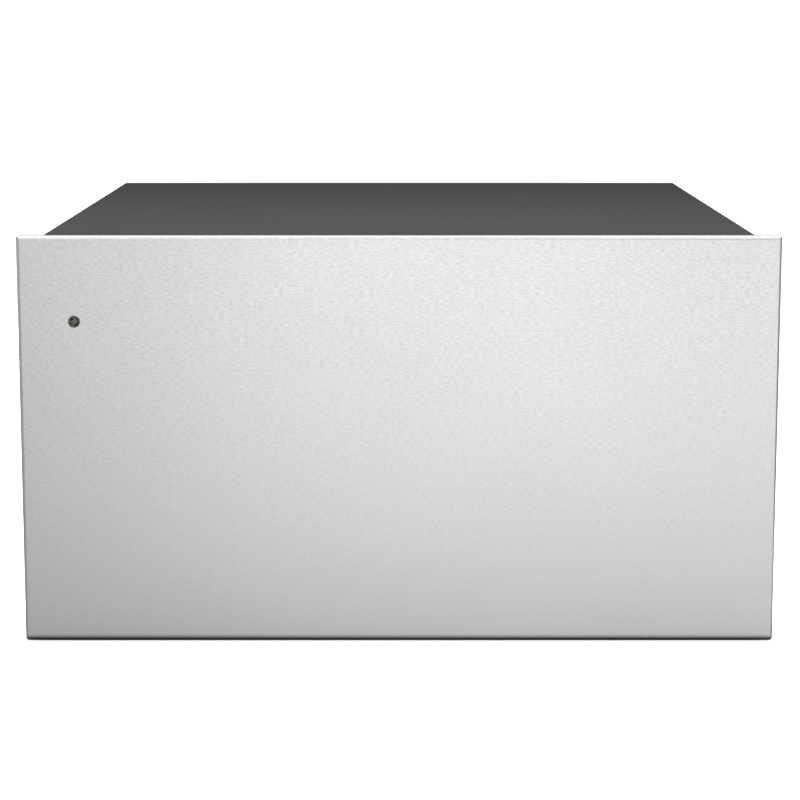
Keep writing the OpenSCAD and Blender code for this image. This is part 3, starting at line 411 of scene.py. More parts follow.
def smoothed(mesh: Mesh, crease: float = 32.0) -> Mesh:
    """Shades a mesh smooth.

    Args:
        mesh: Mesh to shade.
        crease: Angle in degrees beyond which an edge stays sharp.

    Returns:
        The same mesh.
    """
    mesh.polygons.foreach_set("use_smooth", [True] * len(mesh.polygons))
    mesh.set_sharp_from_angle(angle=math.radians(crease))
    return mesh


def lettering(words: str, height: float, thickness: float) -> Mesh:
    """Makes flat figures as a mesh, centred and readable from +Z.

    Args:
        words: Figures to print.
        height: Height of the figures in millimetres.
        thickness: Thickness of the ink in millimetres.

    Returns:
        The mesh, from z = 0 up.
    """
    curve = bpy.data.curves.new("figures", "FONT")
    curve.body = words
    curve.align_x, curve.align_y = "CENTER", "CENTER"
    curve.size = height * MM / FIGURE_SHARE
    curve.extrude = thickness * MM / 2
    return set_down(plain(placed("figures", curve)), (0, 0, thickness / 2))


# Finishes


class Work(NamedTuple):
    """A material that is being painted.

    Attributes:
        tree: Its nodes.
        shader: Its shader.
        where: Coordinates of the piece.
    """

    tree: NodeTree
    shader: Node
    where: NodeSocket

    def colour(self) -> NodeSocket:
        """Returns the colour that the shader has so far."""
        return self.shader.inputs["Base Color"].links[0].from_socket


@dataclass(frozen=True)
class Finish:
    """A surface with two close tones, a grain and a broad unevenness.

    Attributes:
        name: Common name of the real material and its making.
        tone: Main colour.
        shade: Colour that the grain and the patches drift to.
        roughness: Middle of the roughness.
        metallic: One for bare metal.
        swing: How far the roughness drifts either way.
        grain_mm: Size of the grain along x, y and z.
        patch_mm: Size of the broad patches.
        relief_mm: Height of the grain.
        shader: Other values of the shader, by the socket's name.
        patch_share: Weight of the patches against the grain.
        edge_mm: Radius to which edges are broken.
        worn: Colour of rubbed edges, if they show.
    """

    name: str
    tone: str
    shade: str
    roughness: float
    metallic: float = 0.0
    swing: float = 0.06
    grain_mm: Point = (1.0, 1.0, 1.0)
    patch_mm: float = 90.0
    relief_mm: float = 0.0
    shader: tuple[tuple[str, object], ...] = ()
    patch_share: float = 1.0
    edge_mm: float = 0.25
    worn: str = ""

    def material(self) -> Material:
        """Gives the finish's material, which is made the first time.

        Returns:
            The material.
        """
        known = bpy.data.materials.get(self.name)
        if known:
            return known
        material = bpy.data.materials.new(self.name)
        material.use_nodes = True
        tree = material.node_tree
        shader = feed(tree, tree.nodes["Principled BSDF"], {"Metallic": self.metallic, **dict(self.shader)})
        self.paint(Work(tree, shader, add(tree, COORDINATES).outputs["Object"]))
        return material

    def grain(self, work: Work) -> Node:
        """Adds the grain's noise.

        Args:
            work: Material to paint.

        Returns:
            The noise node.
        """
        scale = [per_mm(size) for size in self.grain_mm]
        cells = add(work.tree, MAPPING, {"Vector": work.where, "Scale": scale})
        noise = {"Vector": cells, "Scale": 1.0, "Detail": 3.0, "Roughness": 0.6}
        return add(work.tree, NOISE, noise)

    def paint(self, work: Work) -> None:
        """Links colour, roughness and relief.

        Args:
            work: Material to paint.
        """
        tree, shader, where = work
        grain = self.grain(work)
        broad = {"Vector": where, "Scale": per_mm(self.patch_mm), "Detail": 2.0}
        parts = {0: add(tree, NOISE, broad), 1: self.patch_share, 2: grain}
        both = add(tree, MATH, parts, operation="MULTIPLY_ADD")
        middle = NOISE_MIDDLE * (1 + self.patch_share)
        ends = {"Value": both, "From Min": middle - NOISE_REACH, "From Max": middle + NOISE_REACH}
        drift = add(tree, MAP_RANGE, ends)
        tones = {"Factor": drift, "A": srgb(self.tone), "B": srgb(self.shade)}
        span = {"To Min": self.roughness - self.swing, "To Max": self.roughness + self.swing}
        feed(tree, shader, {
            "Base Color": add(tree, MIX, tones, data_type="RGBA"),
            "Roughness": add(tree, MAP_RANGE, {**ends, **span}),
        })
        normal = {"Normal": self.edges(work, grain)} if self.edge_mm else {}
        if self.relief_mm:
            relief = {"Height": grain, "Distance": self.relief_mm * MM, **normal}
            normal = {"Normal": add(tree, BUMP, relief)}
        feed(tree, shader, normal)

    def edges(self, work: Work, grain: Node) -> Node:
        """Breaks the edges, and rubs them where the finish has a worn colour.

        Args:
            work: Material with its colour linked.
            grain: Grain that breaks up the rubbed places.

        Returns:
            The node that holds the softened normal.
        """
        tree = work.tree
        soft = add(tree, "ShaderNodeBevel", {"Radius": self.edge_mm * MM}, samples=4)
        if self.worn:
            true = add(tree, "ShaderNodeNewGeometry").outputs["Normal"]
            alike = add(tree, VECTOR_MATH, {0: soft, 1: true}, operation="DOT_PRODUCT")
            shares = []
            for value, (start, end) in ((alike.outputs["Value"], RUBBED), (grain, BROKEN)):
                span = {"Value": value, "From Min": start, "From Max": end}
                shares.append(add(tree, MAP_RANGE, span))
            bare = add(tree, MATH, dict(enumerate(shares)), operation="MULTIPLY")
            tones = {"Factor": bare, "A": work.colour(), "B": srgb(self.worn)}
            feed(tree, work.shader, {"Base Color": add(tree, MIX, tones, data_type="RGBA")})
        return soft


@dataclass(frozen=True)
class BrushedSheet(Finish):
    """Sheet ground along x: short wavy flecks over long faint lines; the grain is shallow at the foot and
    deeper towards the top, which paints more sparkle into its colour there.

    Attributes:
        fleck_mm: Length and height of a fleck.
        line_mm: Length and height of a grinding line.
        line_share: Weight of the lines against the flecks.
        wave_mm: Length over which the flecks rise and fall, and how far.
        fade_mm: Heights between which the grain comes up to its full depth.
        fade: Depth of the grain at these heights.
        side_mm: Half of the width to which the folds beside the face are drawn.
        foot_mm: Height of the face's foot.
        roll_mm: Width of the strip beside a fold that the bending drew back, and how far it fell.
        roll_power: How late in the strip it falls.
        seam_mm: Half of the width, and the height, beyond which painted shade stands for the open seam of an
            upper corner.
        seam_edge_mm: Width of the seam's soft edge.
        rear_mm: Depths between which painted shade darkens the upper fold towards its rear cut edge.
        painted_shade_shares: Share of light that the painted shade takes away, at the open seam and at the
            cut edge.
    """

    fleck_mm: Pair = (3.9, 0.95)
    line_mm: Pair = (70.0, 0.9)
    line_share: float = 0.15
    wave_mm: Pair = (6.0, 1.4)
    fade_mm: Pair = (20.0, 290.0)
    fade: Pair = (0.3, 1.25)
    side_mm: float = 299.0
    foot_mm: float = 2.0
    roll_mm: Pair = (4.6, 1.5)
    roll_power: float = 2.0
    seam_mm: Pair = (295.9, 322.4)
    seam_edge_mm: float = 0.4
    rear_mm: Pair = (-274.0, -271.0)
    painted_shade_shares: Pair = (0.9, 0.5)

    def paint(self, work: Work) -> None:
        """Links the ground surface, and painted shade at the open seams of the upper corners and along the
        upper fold's rear cut edge.

        Args:
            work: Material to paint.
        """
        super().paint(work)
        tree, shader, where = work
        x, y, z = add(tree, SEPARATE, {0: where}).outputs
        aside = add(tree, MATH, {0: x}, operation="ABSOLUTE")
        seams = [(start, start + self.seam_edge_mm) for start in self.seam_mm]
        masks = []
        for value, (start, end) in zip((aside, z, y), (*seams, self.rear_mm)):
            span = {"Value": value, "From Min": start * MM, "From Max": end * MM}
            masks.append(add(tree, MAP_RANGE, span))
        beside, above, behind = masks
        # Painted shade: colour and reflection tint are darkened at the corners' open seams and towards the
        # upper fold's rear edge
        dark = 0.0
        for mask, share in zip((beside, behind), self.painted_shade_shares):
            part = add(tree, MATH, {0: mask, 1: share}, operation="MULTIPLY")
            dark = add(tree, MATH, {0: part, 1: dark}, operation="MAXIMUM")
        dark = add(tree, MATH, {0: dark, 1: above}, operation="MULTIPLY")
        kept = add(tree, MATH, {0: 1.0, 1: dark}, operation="SUBTRACT")
        shaded_colour = add(tree, VECTOR_MATH, {0: work.colour(), "Scale": kept}, operation="SCALE")
        feed(tree, shader, {"Base Color": shaded_colour, "Specular Tint": kept})

    def grain(self, work: Work) -> Node:
        """Adds the flecks and lines of the grinding belt.

        Args:
            work: Material to paint.

        Returns:
            The node that holds the height of the grinding.
        """
        tree, _, where = work
        length, lift = self.wave_mm
        wave = add(tree, NOISE, {"Vector": where, "Scale": per_mm(length), "Detail": 1.0})
        rise = {"Value": wave, "To Min": -lift * MM, "To Max": lift * MM}
        lifted = add(tree, COMBINE, {"Z": add(tree, MAP_RANGE, rise)})
        bent = add(tree, VECTOR_MATH, {0: where, 1: lifted}, operation="ADD")
        layers = []
        for (along, across), source in ((self.fleck_mm, bent), (self.line_mm, where)):
            scale = (per_mm(along), per_mm(along), per_mm(across))
            cells = add(tree, MAPPING, {"Vector": source, "Scale": scale})
            layers.append(add(tree, NOISE, {"Vector": cells, "Scale": 1.0, "Detail": 2.0}))
        flecks, lines = layers
        weights = {"Factor": self.line_share, "A": flecks, "B": lines}
        ground = add(tree, MIX, weights, data_type="FLOAT")
        # The grain deepens towards the top; in the colour this is painted sparkle, flecks catching more light
        # higher up
        height = add(tree, SEPARATE, {0: where}).outputs["Z"]
        foot, head = (h * MM for h in self.fade_mm)
        least, most = self.fade
        span = {"Value": height, "From Min": foot, "From Max": head, "To Min": least, "To Max": most}
        depth = add(tree, MAP_RANGE, span)
        about = add(tree, MATH, {0: ground, 1: NOISE_MIDDLE}, operation="SUBTRACT")
        return add(tree, MATH, {0: about, 1: depth, 2: NOISE_MIDDLE}, operation="MULTIPLY_ADD")

    def edges(self, work: Work, grain: Node) -> Node:
        """Draws the sheet back beside its folds.

        Args:
            work: Material to paint.
            grain: Grain of the sheet.

        Returns:
            The node that holds the bent normal.
        """
        tree = work.tree
        strip, fall = (r * MM for r in self.roll_mm)
        x, _, z = add(tree, SEPARATE, {0: work.where}).outputs
        aside = add(tree, MATH, {0: x}, operation="ABSOLUTE")
        beside = add(tree, MATH, {0: aside, 1: self.side_mm * MM - strip}, operation="SUBTRACT")
        below = add(tree, MATH, {0: self.foot_mm * MM + strip, 1: z}, operation="SUBTRACT")
        past = add(tree, MATH, {0: beside, 1: below}, operation="MAXIMUM")
        share = add(tree, MAP_RANGE, {"Value": past, "From Max": strip})
        drawn = add(tree, MATH, {0: share, 1: self.roll_power}, operation="POWER")
        return add(tree, BUMP, {"Height": drawn, "Distance": fall}, invert=True)


@dataclass(frozen=True)
class HeatTintedTube(Finish):
    """Sheath whose oxide runs from straw to blue-grey in soft bands.

    Attributes:
        band_mm: Length of a band.
        band: Noise between which a band comes up.
        straw: Colour of the thinnest oxide.
        straw_share: How much of it a band shows.
    """

    band_mm: float = 34.0
    band: Pair = (0.45, 0.7)
    straw: str = "#8a7350"
    straw_share: float = 0.7

    def paint(self, work: Work) -> None:
        """Links the bands of oxide and the drawn surface.

        Args:
            work: Material to paint.
        """
        super().paint(work)
        tree, shader, where = work
        wavy = {"Vector": where, "Scale": per_mm(self.band_mm), "Distortion": 0.6}
        start, end = self.band
        span = {"From Min": start, "From Max": end, "To Max": self.straw_share}
        share = add(tree, MAP_RANGE, {"Value": add(tree, NOISE, wavy), **span})
        tones = {"Factor": share, "A": work.colour(), "B": srgb(self.straw)}
        feed(tree, shader, {"Base Color": add(tree, MIX, tones, data_type="RGBA")})


@dataclass(frozen=True)
class GraduatedCard(Finish):
    """Glowing paper with painted shade: softly darker to its left, and a painted contact shadow towards the
    drawer's foot.

    Attributes:
        fan_mm: Place along y from which the grading to the left spreads as a fan.
        fan: Slopes of the fan between which it comes up from its shade to its tone, and goes back down.
        foot_mm: Middle of the painted contact shadow, a dark line under the front, along y.
        reach_mm: Distances from there where the line begins to fade, has faded, and the full colour begins.
        depth: Share of the full colour in the line, where it has faded, and far away.
    """

    fan_mm: float = 1420.0
    fan: Pairs = ((-0.42, 0.08), (0.6, 0.26))
    foot_mm: float = -268.0
    reach_mm: Point = (15.0, 31.0, 1900.0)
    depth: Point = (0.01, 0.48, 1.0)

    def paint(self, work: Work) -> None:
        """Links the graded colour, with its painted shade and painted contact shadow, to the colour and the
        glow.

        Args:
            work: Material to paint.
        """
        super().paint(work)
        tree, shader, where = work
        x, y, _ = add(tree, SEPARATE, {0: where}).outputs
        reach = add(tree, MATH, {0: self.fan_mm * MM, 1: y}, operation="SUBTRACT")
        slope = add(tree, MATH, {0: x, 1: reach}, operation="DIVIDE")
        sides = []
        for start, end in self.fan:
            span = {"Value": slope, "From Min": start, "From Max": end}
            sides.append(add(tree, MAP_RANGE, span, interpolation_type="SMOOTHSTEP"))
        across = add(tree, MATH, dict(enumerate(sides)), operation="MULTIPLY")
        tones = {"Factor": across, "A": srgb(self.shade), "B": srgb(self.tone)}
        run = add(tree, MIX, tones, data_type="RGBA")
        # Painted contact shadow: the colour, and so the glow, fall to a dark line under the front's foot
        past = add(tree, MATH, {0: y, 1: self.foot_mm * MM}, operation="SUBTRACT")
        away = add(tree, MATH, {0: past}, operation="ABSOLUTE")
        start, line, end = (r * MM for r in self.reach_mm)
        foot, near, far = self.depth
        low = {"Value": away, "From Min": start, "From Max": line, "To Min": foot, "To Max": near}
        high = {"Value": away, "From Min": line, "From Max": end, "To Max": far - near}
        both = {0: add(tree, MAP_RANGE, low), 1: add(tree, MAP_RANGE, high)}
        light = add(tree, MATH, both, operation="ADD")
        painted_shading = add(tree, VECTOR_MATH, {0: run, "Scale": light}, operation="SCALE")
        feed(tree, shader, {"Base Color": painted_shading, "Emission Color": painted_shading})


@dataclass(frozen=True)
class FloorPaper(Finish):
    """White paper with a fill light, which leaves out the floor that the front hides from the camera.

    Attributes:
        glow: Strength of the fill light.
        front_mm: Depths between which it goes out under the front.
        side_mm: Half of the width in which there is none.
        fade_mm: Width of its soft edge beside the front.
        widen: Growth of that edge for each millimetre further back.
        shadow_mm: Depths between which the shadow right under the front ends.
        shadow: Share of light that is left in that shadow.
    """

    glow: float = 0.75
    front_mm: Pair = (-278.0, -280.0)
    side_mm: float = 296.5
    fade_mm: float = 1.5
    widen: float = 0.17
    shadow_mm: Pair = (-266.0, -258.0)
    shadow: float = 0.3

    def paint(self, work: Work) -> None:
        """Links the paper's tone, darkened by a painted shadow right under the front, and the fill light.

        Args:
            work: Material to paint.
        """
        super().paint(work)
        tree, shader, where = work
        x, y, _ = add(tree, SEPARATE, {0: where}).outputs
        aside = add(tree, MATH, {0: x}, operation="ABSOLUTE")
        past = add(tree, MATH, {0: aside, 1: self.side_mm * MM}, operation="SUBTRACT")
        least = (self.fade_mm - self.widen * self.front_mm[0]) * MM
        width = add(tree, MATH, {0: y, 1: self.widen, 2: least}, operation="MULTIPLY_ADD")
        beside = add(tree, MATH, {0: past, 1: width}, operation="DIVIDE")
        near, far = (v * MM for v in self.front_mm)
        before = add(tree, MAP_RANGE, {"Value": y, "From Min": near, "From Max": far})
        lit = add(tree, MATH, {0: beside, 1: before}, operation="MAXIMUM")
        fill = {"Value": lit, "To Max": self.glow}
        # Painted shadow: the paper's colour is darkened in a strip right under the front
        start, end = (v * MM for v in self.shadow_mm)
        span = {"Value": y, "From Min": start, "From Max": end, "To Min": self.shadow}
        behind = add(tree, MAP_RANGE, span)
        shown = add(tree, MATH, {0: lit, 1: behind}, operation="MAXIMUM", use_clamp=True)
        shaded = add(tree, VECTOR_MATH, {0: work.colour(), "Scale": shown}, operation="SCALE")
        glow = add(tree, MAP_RANGE, fill, interpolation_type="SMOOTHSTEP")
        feed(tree, shader, {"Base Color": shaded, "Emission Strength": glow})


# Stainless sheet, belt ground along its width: short flecks, and highlights that spread up and down
BRUSHED = BrushedSheet(
    "stainless_sheet_belt_ground", "#e8e8e8", "#cbcbcb", 0.31, 1.0, 0.03, patch_mm=140.0, relief_mm=0.006,
    shader=(("Anisotropic", 0.6), ("Anisotropic Rotation", 0.25)), patch_share=0.12,
)
# Stainless sheet with a mill finish: satin, with faint rolling lines front to back
MILL_STAINLESS = Finish(
    "stainless_sheet_mill_finish", "#bcbcba", "#a9a9a8", 0.3, 1.0, 0.07, (0.7, 40.0, 0.7), relief_mm=0.002
)
# Polyester powder coat on steel: matt dark grey with a fine orange peel
POWDER_COAT = Finish(
    "steel_powder_coated", "#2a2a2a", "#252525", 0.85, 0.0, 0.05, (1.6, 1.6, 1.6), relief_mm=0.01,
    shader=(("Specular IOR Level", 0.005),), patch_share=0.25, edge_mm=0.35, worn="#4c4c4b",
)
# Bright zinc on steel: cool silver with drawing lines and cloudy patches
ZINC = Finish("steel_zinc_plated", "#c2c5c8", "#a7abb0", 0.3, 1.0, 0.08, (0.8, 14.0, 0.8), 22.0, 0.003)
# Hardened bearing steel: nearly a mirror
BALL_STEEL = Finish("bearing_steel_polished", "#d3d4d5", "#c4c5c7", 0.1, 1.0, 0.03, (0.4, 0.4, 0.4), 3.0)
# Pressed aluminium: pale, soft grain, a little dull
ALUMINIUM = Finish("aluminium_pressed", "#cbccce", "#b7b9bc", 0.4, 1.0, 0.07, (1.2, 1.2, 1.2), 30.0, 0.004)
# Steel can under dark lacquer: smooth, with a soft gloss
LACQUER = Finish(
    "motor_can_lacquered", "#4b4e50", "#414446", 0.42, 0.3, 0.06, (0.9, 0.9, 0.9), 40.0, 0.006,
    (("Coat Weight", 0.3), ("Coat Roughness", 0.25)),
)
# Turned brass: warm, with tool lines
BRASS = Finish("brass_turned", "#c4a25c", "#a98846", 0.26, 1.0, 0.06, (3.0, 0.3, 0.3), 12.0, 0.003)
# Drawn alloy tube that has been hot: brown and blue-grey oxide
SHEATH = HeatTintedTube(
    "alloy_sheath_heat_tinted", "#5b5854", "#46454a", 0.42, 0.85, 0.08, (1.5, 1.5, 1.5), 20.0, 0.004
)
# Moulded ABS with a spark-eroded surface: near black, fine matt grain
BLACK_ABS = Finish(
    "abs_moulded_black", "#1c1c1d", "#151516", 0.5, 0.0, 0.06, (0.7, 0.7, 0.7), 60.0, 0.02,
    (("Specular IOR Level", 0.35),), edge_mm=0.4, worn="#3b3b3c",
)
# Black chrome on moulded ABS: a dark, slightly warm mirror
BLACK_CHROME = Finish(
    "abs_plated_black_chrome", "#6b6a66", "#5a5955", 0.26, 1.0, 0.05, (0.5, 0.5, 0.5), 3.0, 0.001, edge_mm=0.1
)
# Moulded polyamide without colour: warm off-white, waxy
PALE_POLYAMIDE = Finish(
    "polyamide_natural", "#e2ddd0", "#d3cdbe", 0.42, 0.0, 0.06, (1.0, 1.0, 1.0), 25.0, 0.008,
    (("Subsurface Weight", 0.05), ("Subsurface Radius", (0.002, 0.0016, 0.001))),
)
# Acetal, machined smooth: mid grey, slippery sheen
GREY_ACETAL = Finish("acetal_grey", "#6d6f71", "#5f6163", 0.34, 0.0, 0.05, (0.5, 2.0, 0.5), 15.0, 0.003)
# Tinted polycarbonate: deep red with a wet gloss
RED_POLYCARBONATE = Finish(
    "polycarbonate_red", "#a8160f", "#8d0f0b", 0.28, 0.0, 0.05, (0.8, 0.8, 0.8), 8.0, 0.004,
    (("Coat Weight", 0.25), ("Coat Roughness", 0.1)),
)
# Smoked polycarbonate of the pilot lens: grey, half clear, glossy
SMOKED_LENS = Finish(
    "polycarbonate_smoked", "#88867f", "#75736d", 0.14, 0.0, 0.04, (0.6, 0.6, 0.6), 3.0, 0.002,
    (("Transmission Weight", 0.35), ("IOR", 1.58)),
)
# Unlit lamp seen through the lens: a dull brown spot
LAMP_SPOT = Finish("lamp_seen_through_lens", "#463f33", "#39342b", 0.2, 0.0, 0.04, (0.4, 0.4, 0.4), 2.0)
# Plated collar inside the bezel: grey, satin
COLLAR = Finish("steel_collar_satin", "#76746d", "#5f5d58", 0.34, 1.0, 0.05, (0.5, 0.5, 0.5), 4.0)
# Silicone rubber: deep black-grey, dusty matt
RUBBER = Finish(
    "silicone_rubber_black", "#242526", "#1b1c1d", 0.72, 0.0, 0.07, (0.9, 0.9, 0.9), 45.0, 0.02,
    (("Sheen Weight", 0.12), ("Sheen Roughness", 0.5)),
)
# Mineral wool batt: straw-coloured fibres that lie flat in the sheet
WOOL = Finish("mineral_wool_batt", "#b8a76c", "#8d7d4c", 0.95, 0.0, 0.03, (5.0, 0.6, 1.2), 18.0, 0.4)
# Nickel-plated magnet: warm mirror with fine handling marks
NICKEL = Finish("magnet_nickel_plated", "#bdb8ae", "#a7a298", 0.16, 1.0, 0.06, (0.6, 0.6, 0.6), 5.0)
# Screen-printing ink: flat off-white, slightly uneven
INK = Finish("printing_ink_white", "#d8d8d4", "#c6c6c2", 0.55, 0.0, 0.05, (0.5, 0.5, 0.5), 6.0, 0.004)
# Studio paper: matt white, lit a little from within
WHITE_PAPER = FloorPaper(
    "paper_white", "#f4f4f4", "#f1f1f1", 0.9, grain_mm=(3.0, 3.0, 3.0), edge_mm=0.0,
    shader=(("Emission Color", srgb("#ffffff")),),
)
# Studio paper with painted shade, darker to the left, and a painted contact shadow under the front: it gives
# the front its soft shades
GREY_PAPER = GraduatedCard(
    "paper_graduated_grey", "#f6f6f6", "#7e7e7e", 0.9, edge_mm=0.0, shader=(("Emission Strength", 0.68),)
)


# Trees of Geometry Nodes


def studs_tree() -> NodeTree:
    """Makes the tree that sets staggered studs on a mat.

    Returns:
        The tree.
    """
    tree, size = shape_tree(
        "studs", Width="Float", Depth="Float", Columns="Int", Rows="Int", Foot="Float", Crown="Float",
        Rise="Float", Level="Float",
    )
    counts = {"Vertices X": size["Columns"], "Vertices Y": size["Rows"]}
    grid = add(tree, "GeometryNodeMeshGrid", {"Size X": size["Width"], "Size Y": size["Depth"], **counts})
    place = {0: add(tree, "GeometryNodeInputIndex"), 1: size["Rows"]}
    row = add(tree, "FunctionNodeIntegerMath", place, operation="MODULO")
    odd = add(tree, "FunctionNodeIntegerMath", {0: row, 1: 2}, operation="MODULO")
    gaps = add(tree, MATH, {0: size["Columns"], 1: 1.0}, operation="SUBTRACT")
    pitch = add(tree, MATH, {0: size["Width"], 1: gaps}, operation="DIVIDE")
    way = add(tree, MATH, {0: odd, 1: 0.5}, operation="SUBTRACT")
    shift = add(tree, MATH, {0: way, 1: pitch}, operation="MULTIPLY")
    half = add(tree, MATH, {0: shift, 1: 0.5}, operation="MULTIPLY")
    offset = add(tree, COMBINE, {"X": half, "Z": size["Level"]})
    staggered = add(tree, "GeometryNodeSetPosition", {"Geometry": grid, "Offset": offset})
    points = add(tree, "GeometryNodeMeshToPoints", {"Mesh": staggered})
    radii = {"Radius Top": size["Crown"], "Radius Bottom": size["Foot"], "Depth": size["Rise"]}
    stud = add(tree, "GeometryNodeMeshCone", {"Vertices": 12, **radii})
    studs = add(tree, "GeometryNodeInstanceOnPoints", {"Points": points, "Instance": stud})
    whole = add(tree, "GeometryNodeJoinGeometry", {"Geometry": studs})
    return close_tree(tree, feed(tree, whole, {"Geometry": size["Geometry"]}), size["Surface"])


def fastener_tree() -> NodeTree:
    """Makes the tree that sets a screw or rivet on each point, along the point's aim.

    Returns:
        The tree.
    """
    tree, given = shape_tree("fasteners", Pattern="Object", Seed="Int")
    aim = add(tree, "GeometryNodeInputNamedAttribute", {"Name": "aim"}, data_type="FLOAT_VECTOR")
    aimed = add(tree, "FunctionNodeAlignRotationToVector", {"Vector": aim}, axis="Z")
    chance = {"Max": math.pi, "Seed": given["Seed"]}
    spin = add(tree, "FunctionNodeRandomValue", chance, data_type="FLOAT")
    about = add(tree, "FunctionNodeEulerToRotation", {0: add(tree, COMBINE, {"Z": spin})})
    both = {"Rotation": aimed, "Rotate By": about}
    driven = add(tree, "FunctionNodeRotateRotation", both, rotation_space="LOCAL")
    pattern = add(tree, "GeometryNodeObjectInfo", {"Object": given["Pattern"]})
    points = add(tree, "GeometryNodeMeshToPoints", {"Mesh": given["Geometry"]})
    each = {"Points": points, "Instance": pattern.outputs["Geometry"], "Rotation": driven}
    return close_tree(tree, add(tree, "GeometryNodeInstanceOnPoints", each), given["Surface"])


def marks_tree() -> NodeTree:
    """Makes the tree that sets bars around an axis, every second one shorter if wished.

    Returns:
        The tree.
    """
    tree, size = shape_tree("marks", Count="Int", Step="Float", Radius="Float", Bar="Vector", Short="Float")
    index = add(tree, "GeometryNodeInputIndex")
    angle = add(tree, MATH, {0: index, 1: size["Step"]}, operation="MULTIPLY")
    odd = add(tree, MATH, {0: index, 1: 2.0}, operation="MODULO")
    length = add(tree, MAP_RANGE, {"Value": odd, "To Min": 1.0, "To Max": size["Short"]})
    turn = add(tree, COMBINE, {"Z": angle})
    out = add(tree, COMBINE, {"X": size["Radius"]})
    where = add(tree, "ShaderNodeVectorRotate", {"Vector": out, "Angle": angle}, rotation_type="Z_AXIS")
    line = add(tree, "GeometryNodeMeshLine", {"Count": size["Count"]})
    points = add(tree, "GeometryNodeSetPosition", {"Geometry": line, "Position": where})
    bar = add(tree, "GeometryNodeMeshCube", {"Size": size["Bar"]})
    each = {"Points": points, "Instance": bar, "Rotation": turn}
    each["Scale"] = add(tree, COMBINE, {"X": length, "Y": 1.0, "Z": 1.0})
    return close_tree(tree, add(tree, "GeometryNodeInstanceOnPoints", each), size["Surface"])


def tube_tree() -> NodeTree:
    """Makes the tree that draws a round tube along a line of edges.

    Returns:
        The tree.
    """
    tree, given = shape_tree("tube", Radius="Float", Sides="Int")
    line = add(tree, "GeometryNodeMeshToCurve", {"Mesh": given["Geometry"]})
    circle = {"Resolution": given["Sides"], "Radius": given["Radius"]}
    section = add(tree, "GeometryNodeCurvePrimitiveCircle", circle)
    swept = {"Curve": line, "Profile Curve": section, "Fill Caps": True}
    return close_tree(tree, add(tree, "GeometryNodeCurveToMesh", swept), given["Surface"])


def batt_tree() -> NodeTree:
    """Makes the tree of a wool batt: a loose block with an uneven skin and one hole.

    Returns:
        The tree.
    """
    tree, size = shape_tree("batt", Size="Vector", Loft="Float", Lump="Float", Hole="Vector", Bore="Float")
    cells = {"Vertices X": 76, "Vertices Y": 4, "Vertices Z": 42}
    block = add(tree, "GeometryNodeMeshCube", {"Size": size["Size"], **cells})
    noise = add(tree, NOISE, {"Scale": size["Lump"], "Detail": 2.0})
    inwards = add(tree, MATH, {0: noise, 1: size["Loft"]}, operation="MULTIPLY")
    back = add(tree, MATH, {0: inwards, 1: -1.0}, operation="MULTIPLY")
    outward = add(tree, "GeometryNodeInputNormal")
    move = add(tree, VECTOR_MATH, {0: outward, "Scale": back}, operation="SCALE")
    lumpy = add(tree, "GeometryNodeSetPosition", {"Geometry": block, "Offset": move})
    # The pin is longer than the batt is thick
    pin = add(tree, "GeometryNodeMeshCylinder", {"Vertices": 24, "Radius": size["Bore"], "Depth": 50 * MM})
    laid = {"Geometry": pin, "Translation": size["Hole"], "Rotation": (math.pi / 2, 0, 0)}
    bored = {"Mesh 1": lumpy, "Mesh 2": add(tree, "GeometryNodeTransform", laid)}
    whole = add(tree, "GeometryNodeMeshBoolean", bored, operation="DIFFERENCE")
    return close_tree(tree, whole, size["Surface"])


# Sub-assemblies

Coats = tuple[tuple[Finish, tuple[str, ...]], ...]


def both_sides(*parts: str) -> tuple[str, ...]:
    """Returns the names of parts that the drawer has on its left and on its right."""
    return tuple(f"{side}_{part}" for side in ("left", "right") for part in parts)


def show(name: str, mesh: Mesh, finish: Finish | None, body: Body, slot: Slot, *stands_for: str) -> Object:
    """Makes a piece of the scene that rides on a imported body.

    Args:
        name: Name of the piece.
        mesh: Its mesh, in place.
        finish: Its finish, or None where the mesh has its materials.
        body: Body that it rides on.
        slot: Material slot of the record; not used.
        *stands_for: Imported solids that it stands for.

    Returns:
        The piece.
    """
    if finish:
        mesh.materials.clear()
        mesh.materials.append(finish.material())
    mesh.name = name
    piece = placed(name, mesh)
    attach(piece, body.value)
    if stands_for:
        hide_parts(*stands_for)
    log.info("%s: %d faces on %s", name, len(mesh.polygons), body.value)
    return piece


@dataclass
class SubAssembly:
    """A group of pieces that belong together.

    Attributes:
        coats: Finishes of the group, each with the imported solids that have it.
    """

    coats: Coats = ()

    def dress(self) -> None:
        """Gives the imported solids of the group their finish, in the material slots that they have."""
        for finish, nodes in self.coats:
            for name in nodes:
                for place in frame["nodes"][name].material_slots:
                    place.material = finish.material()
                log.info("%s: %s", name, finish.name)

    def build(self) -> None:
        """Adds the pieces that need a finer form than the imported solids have."""


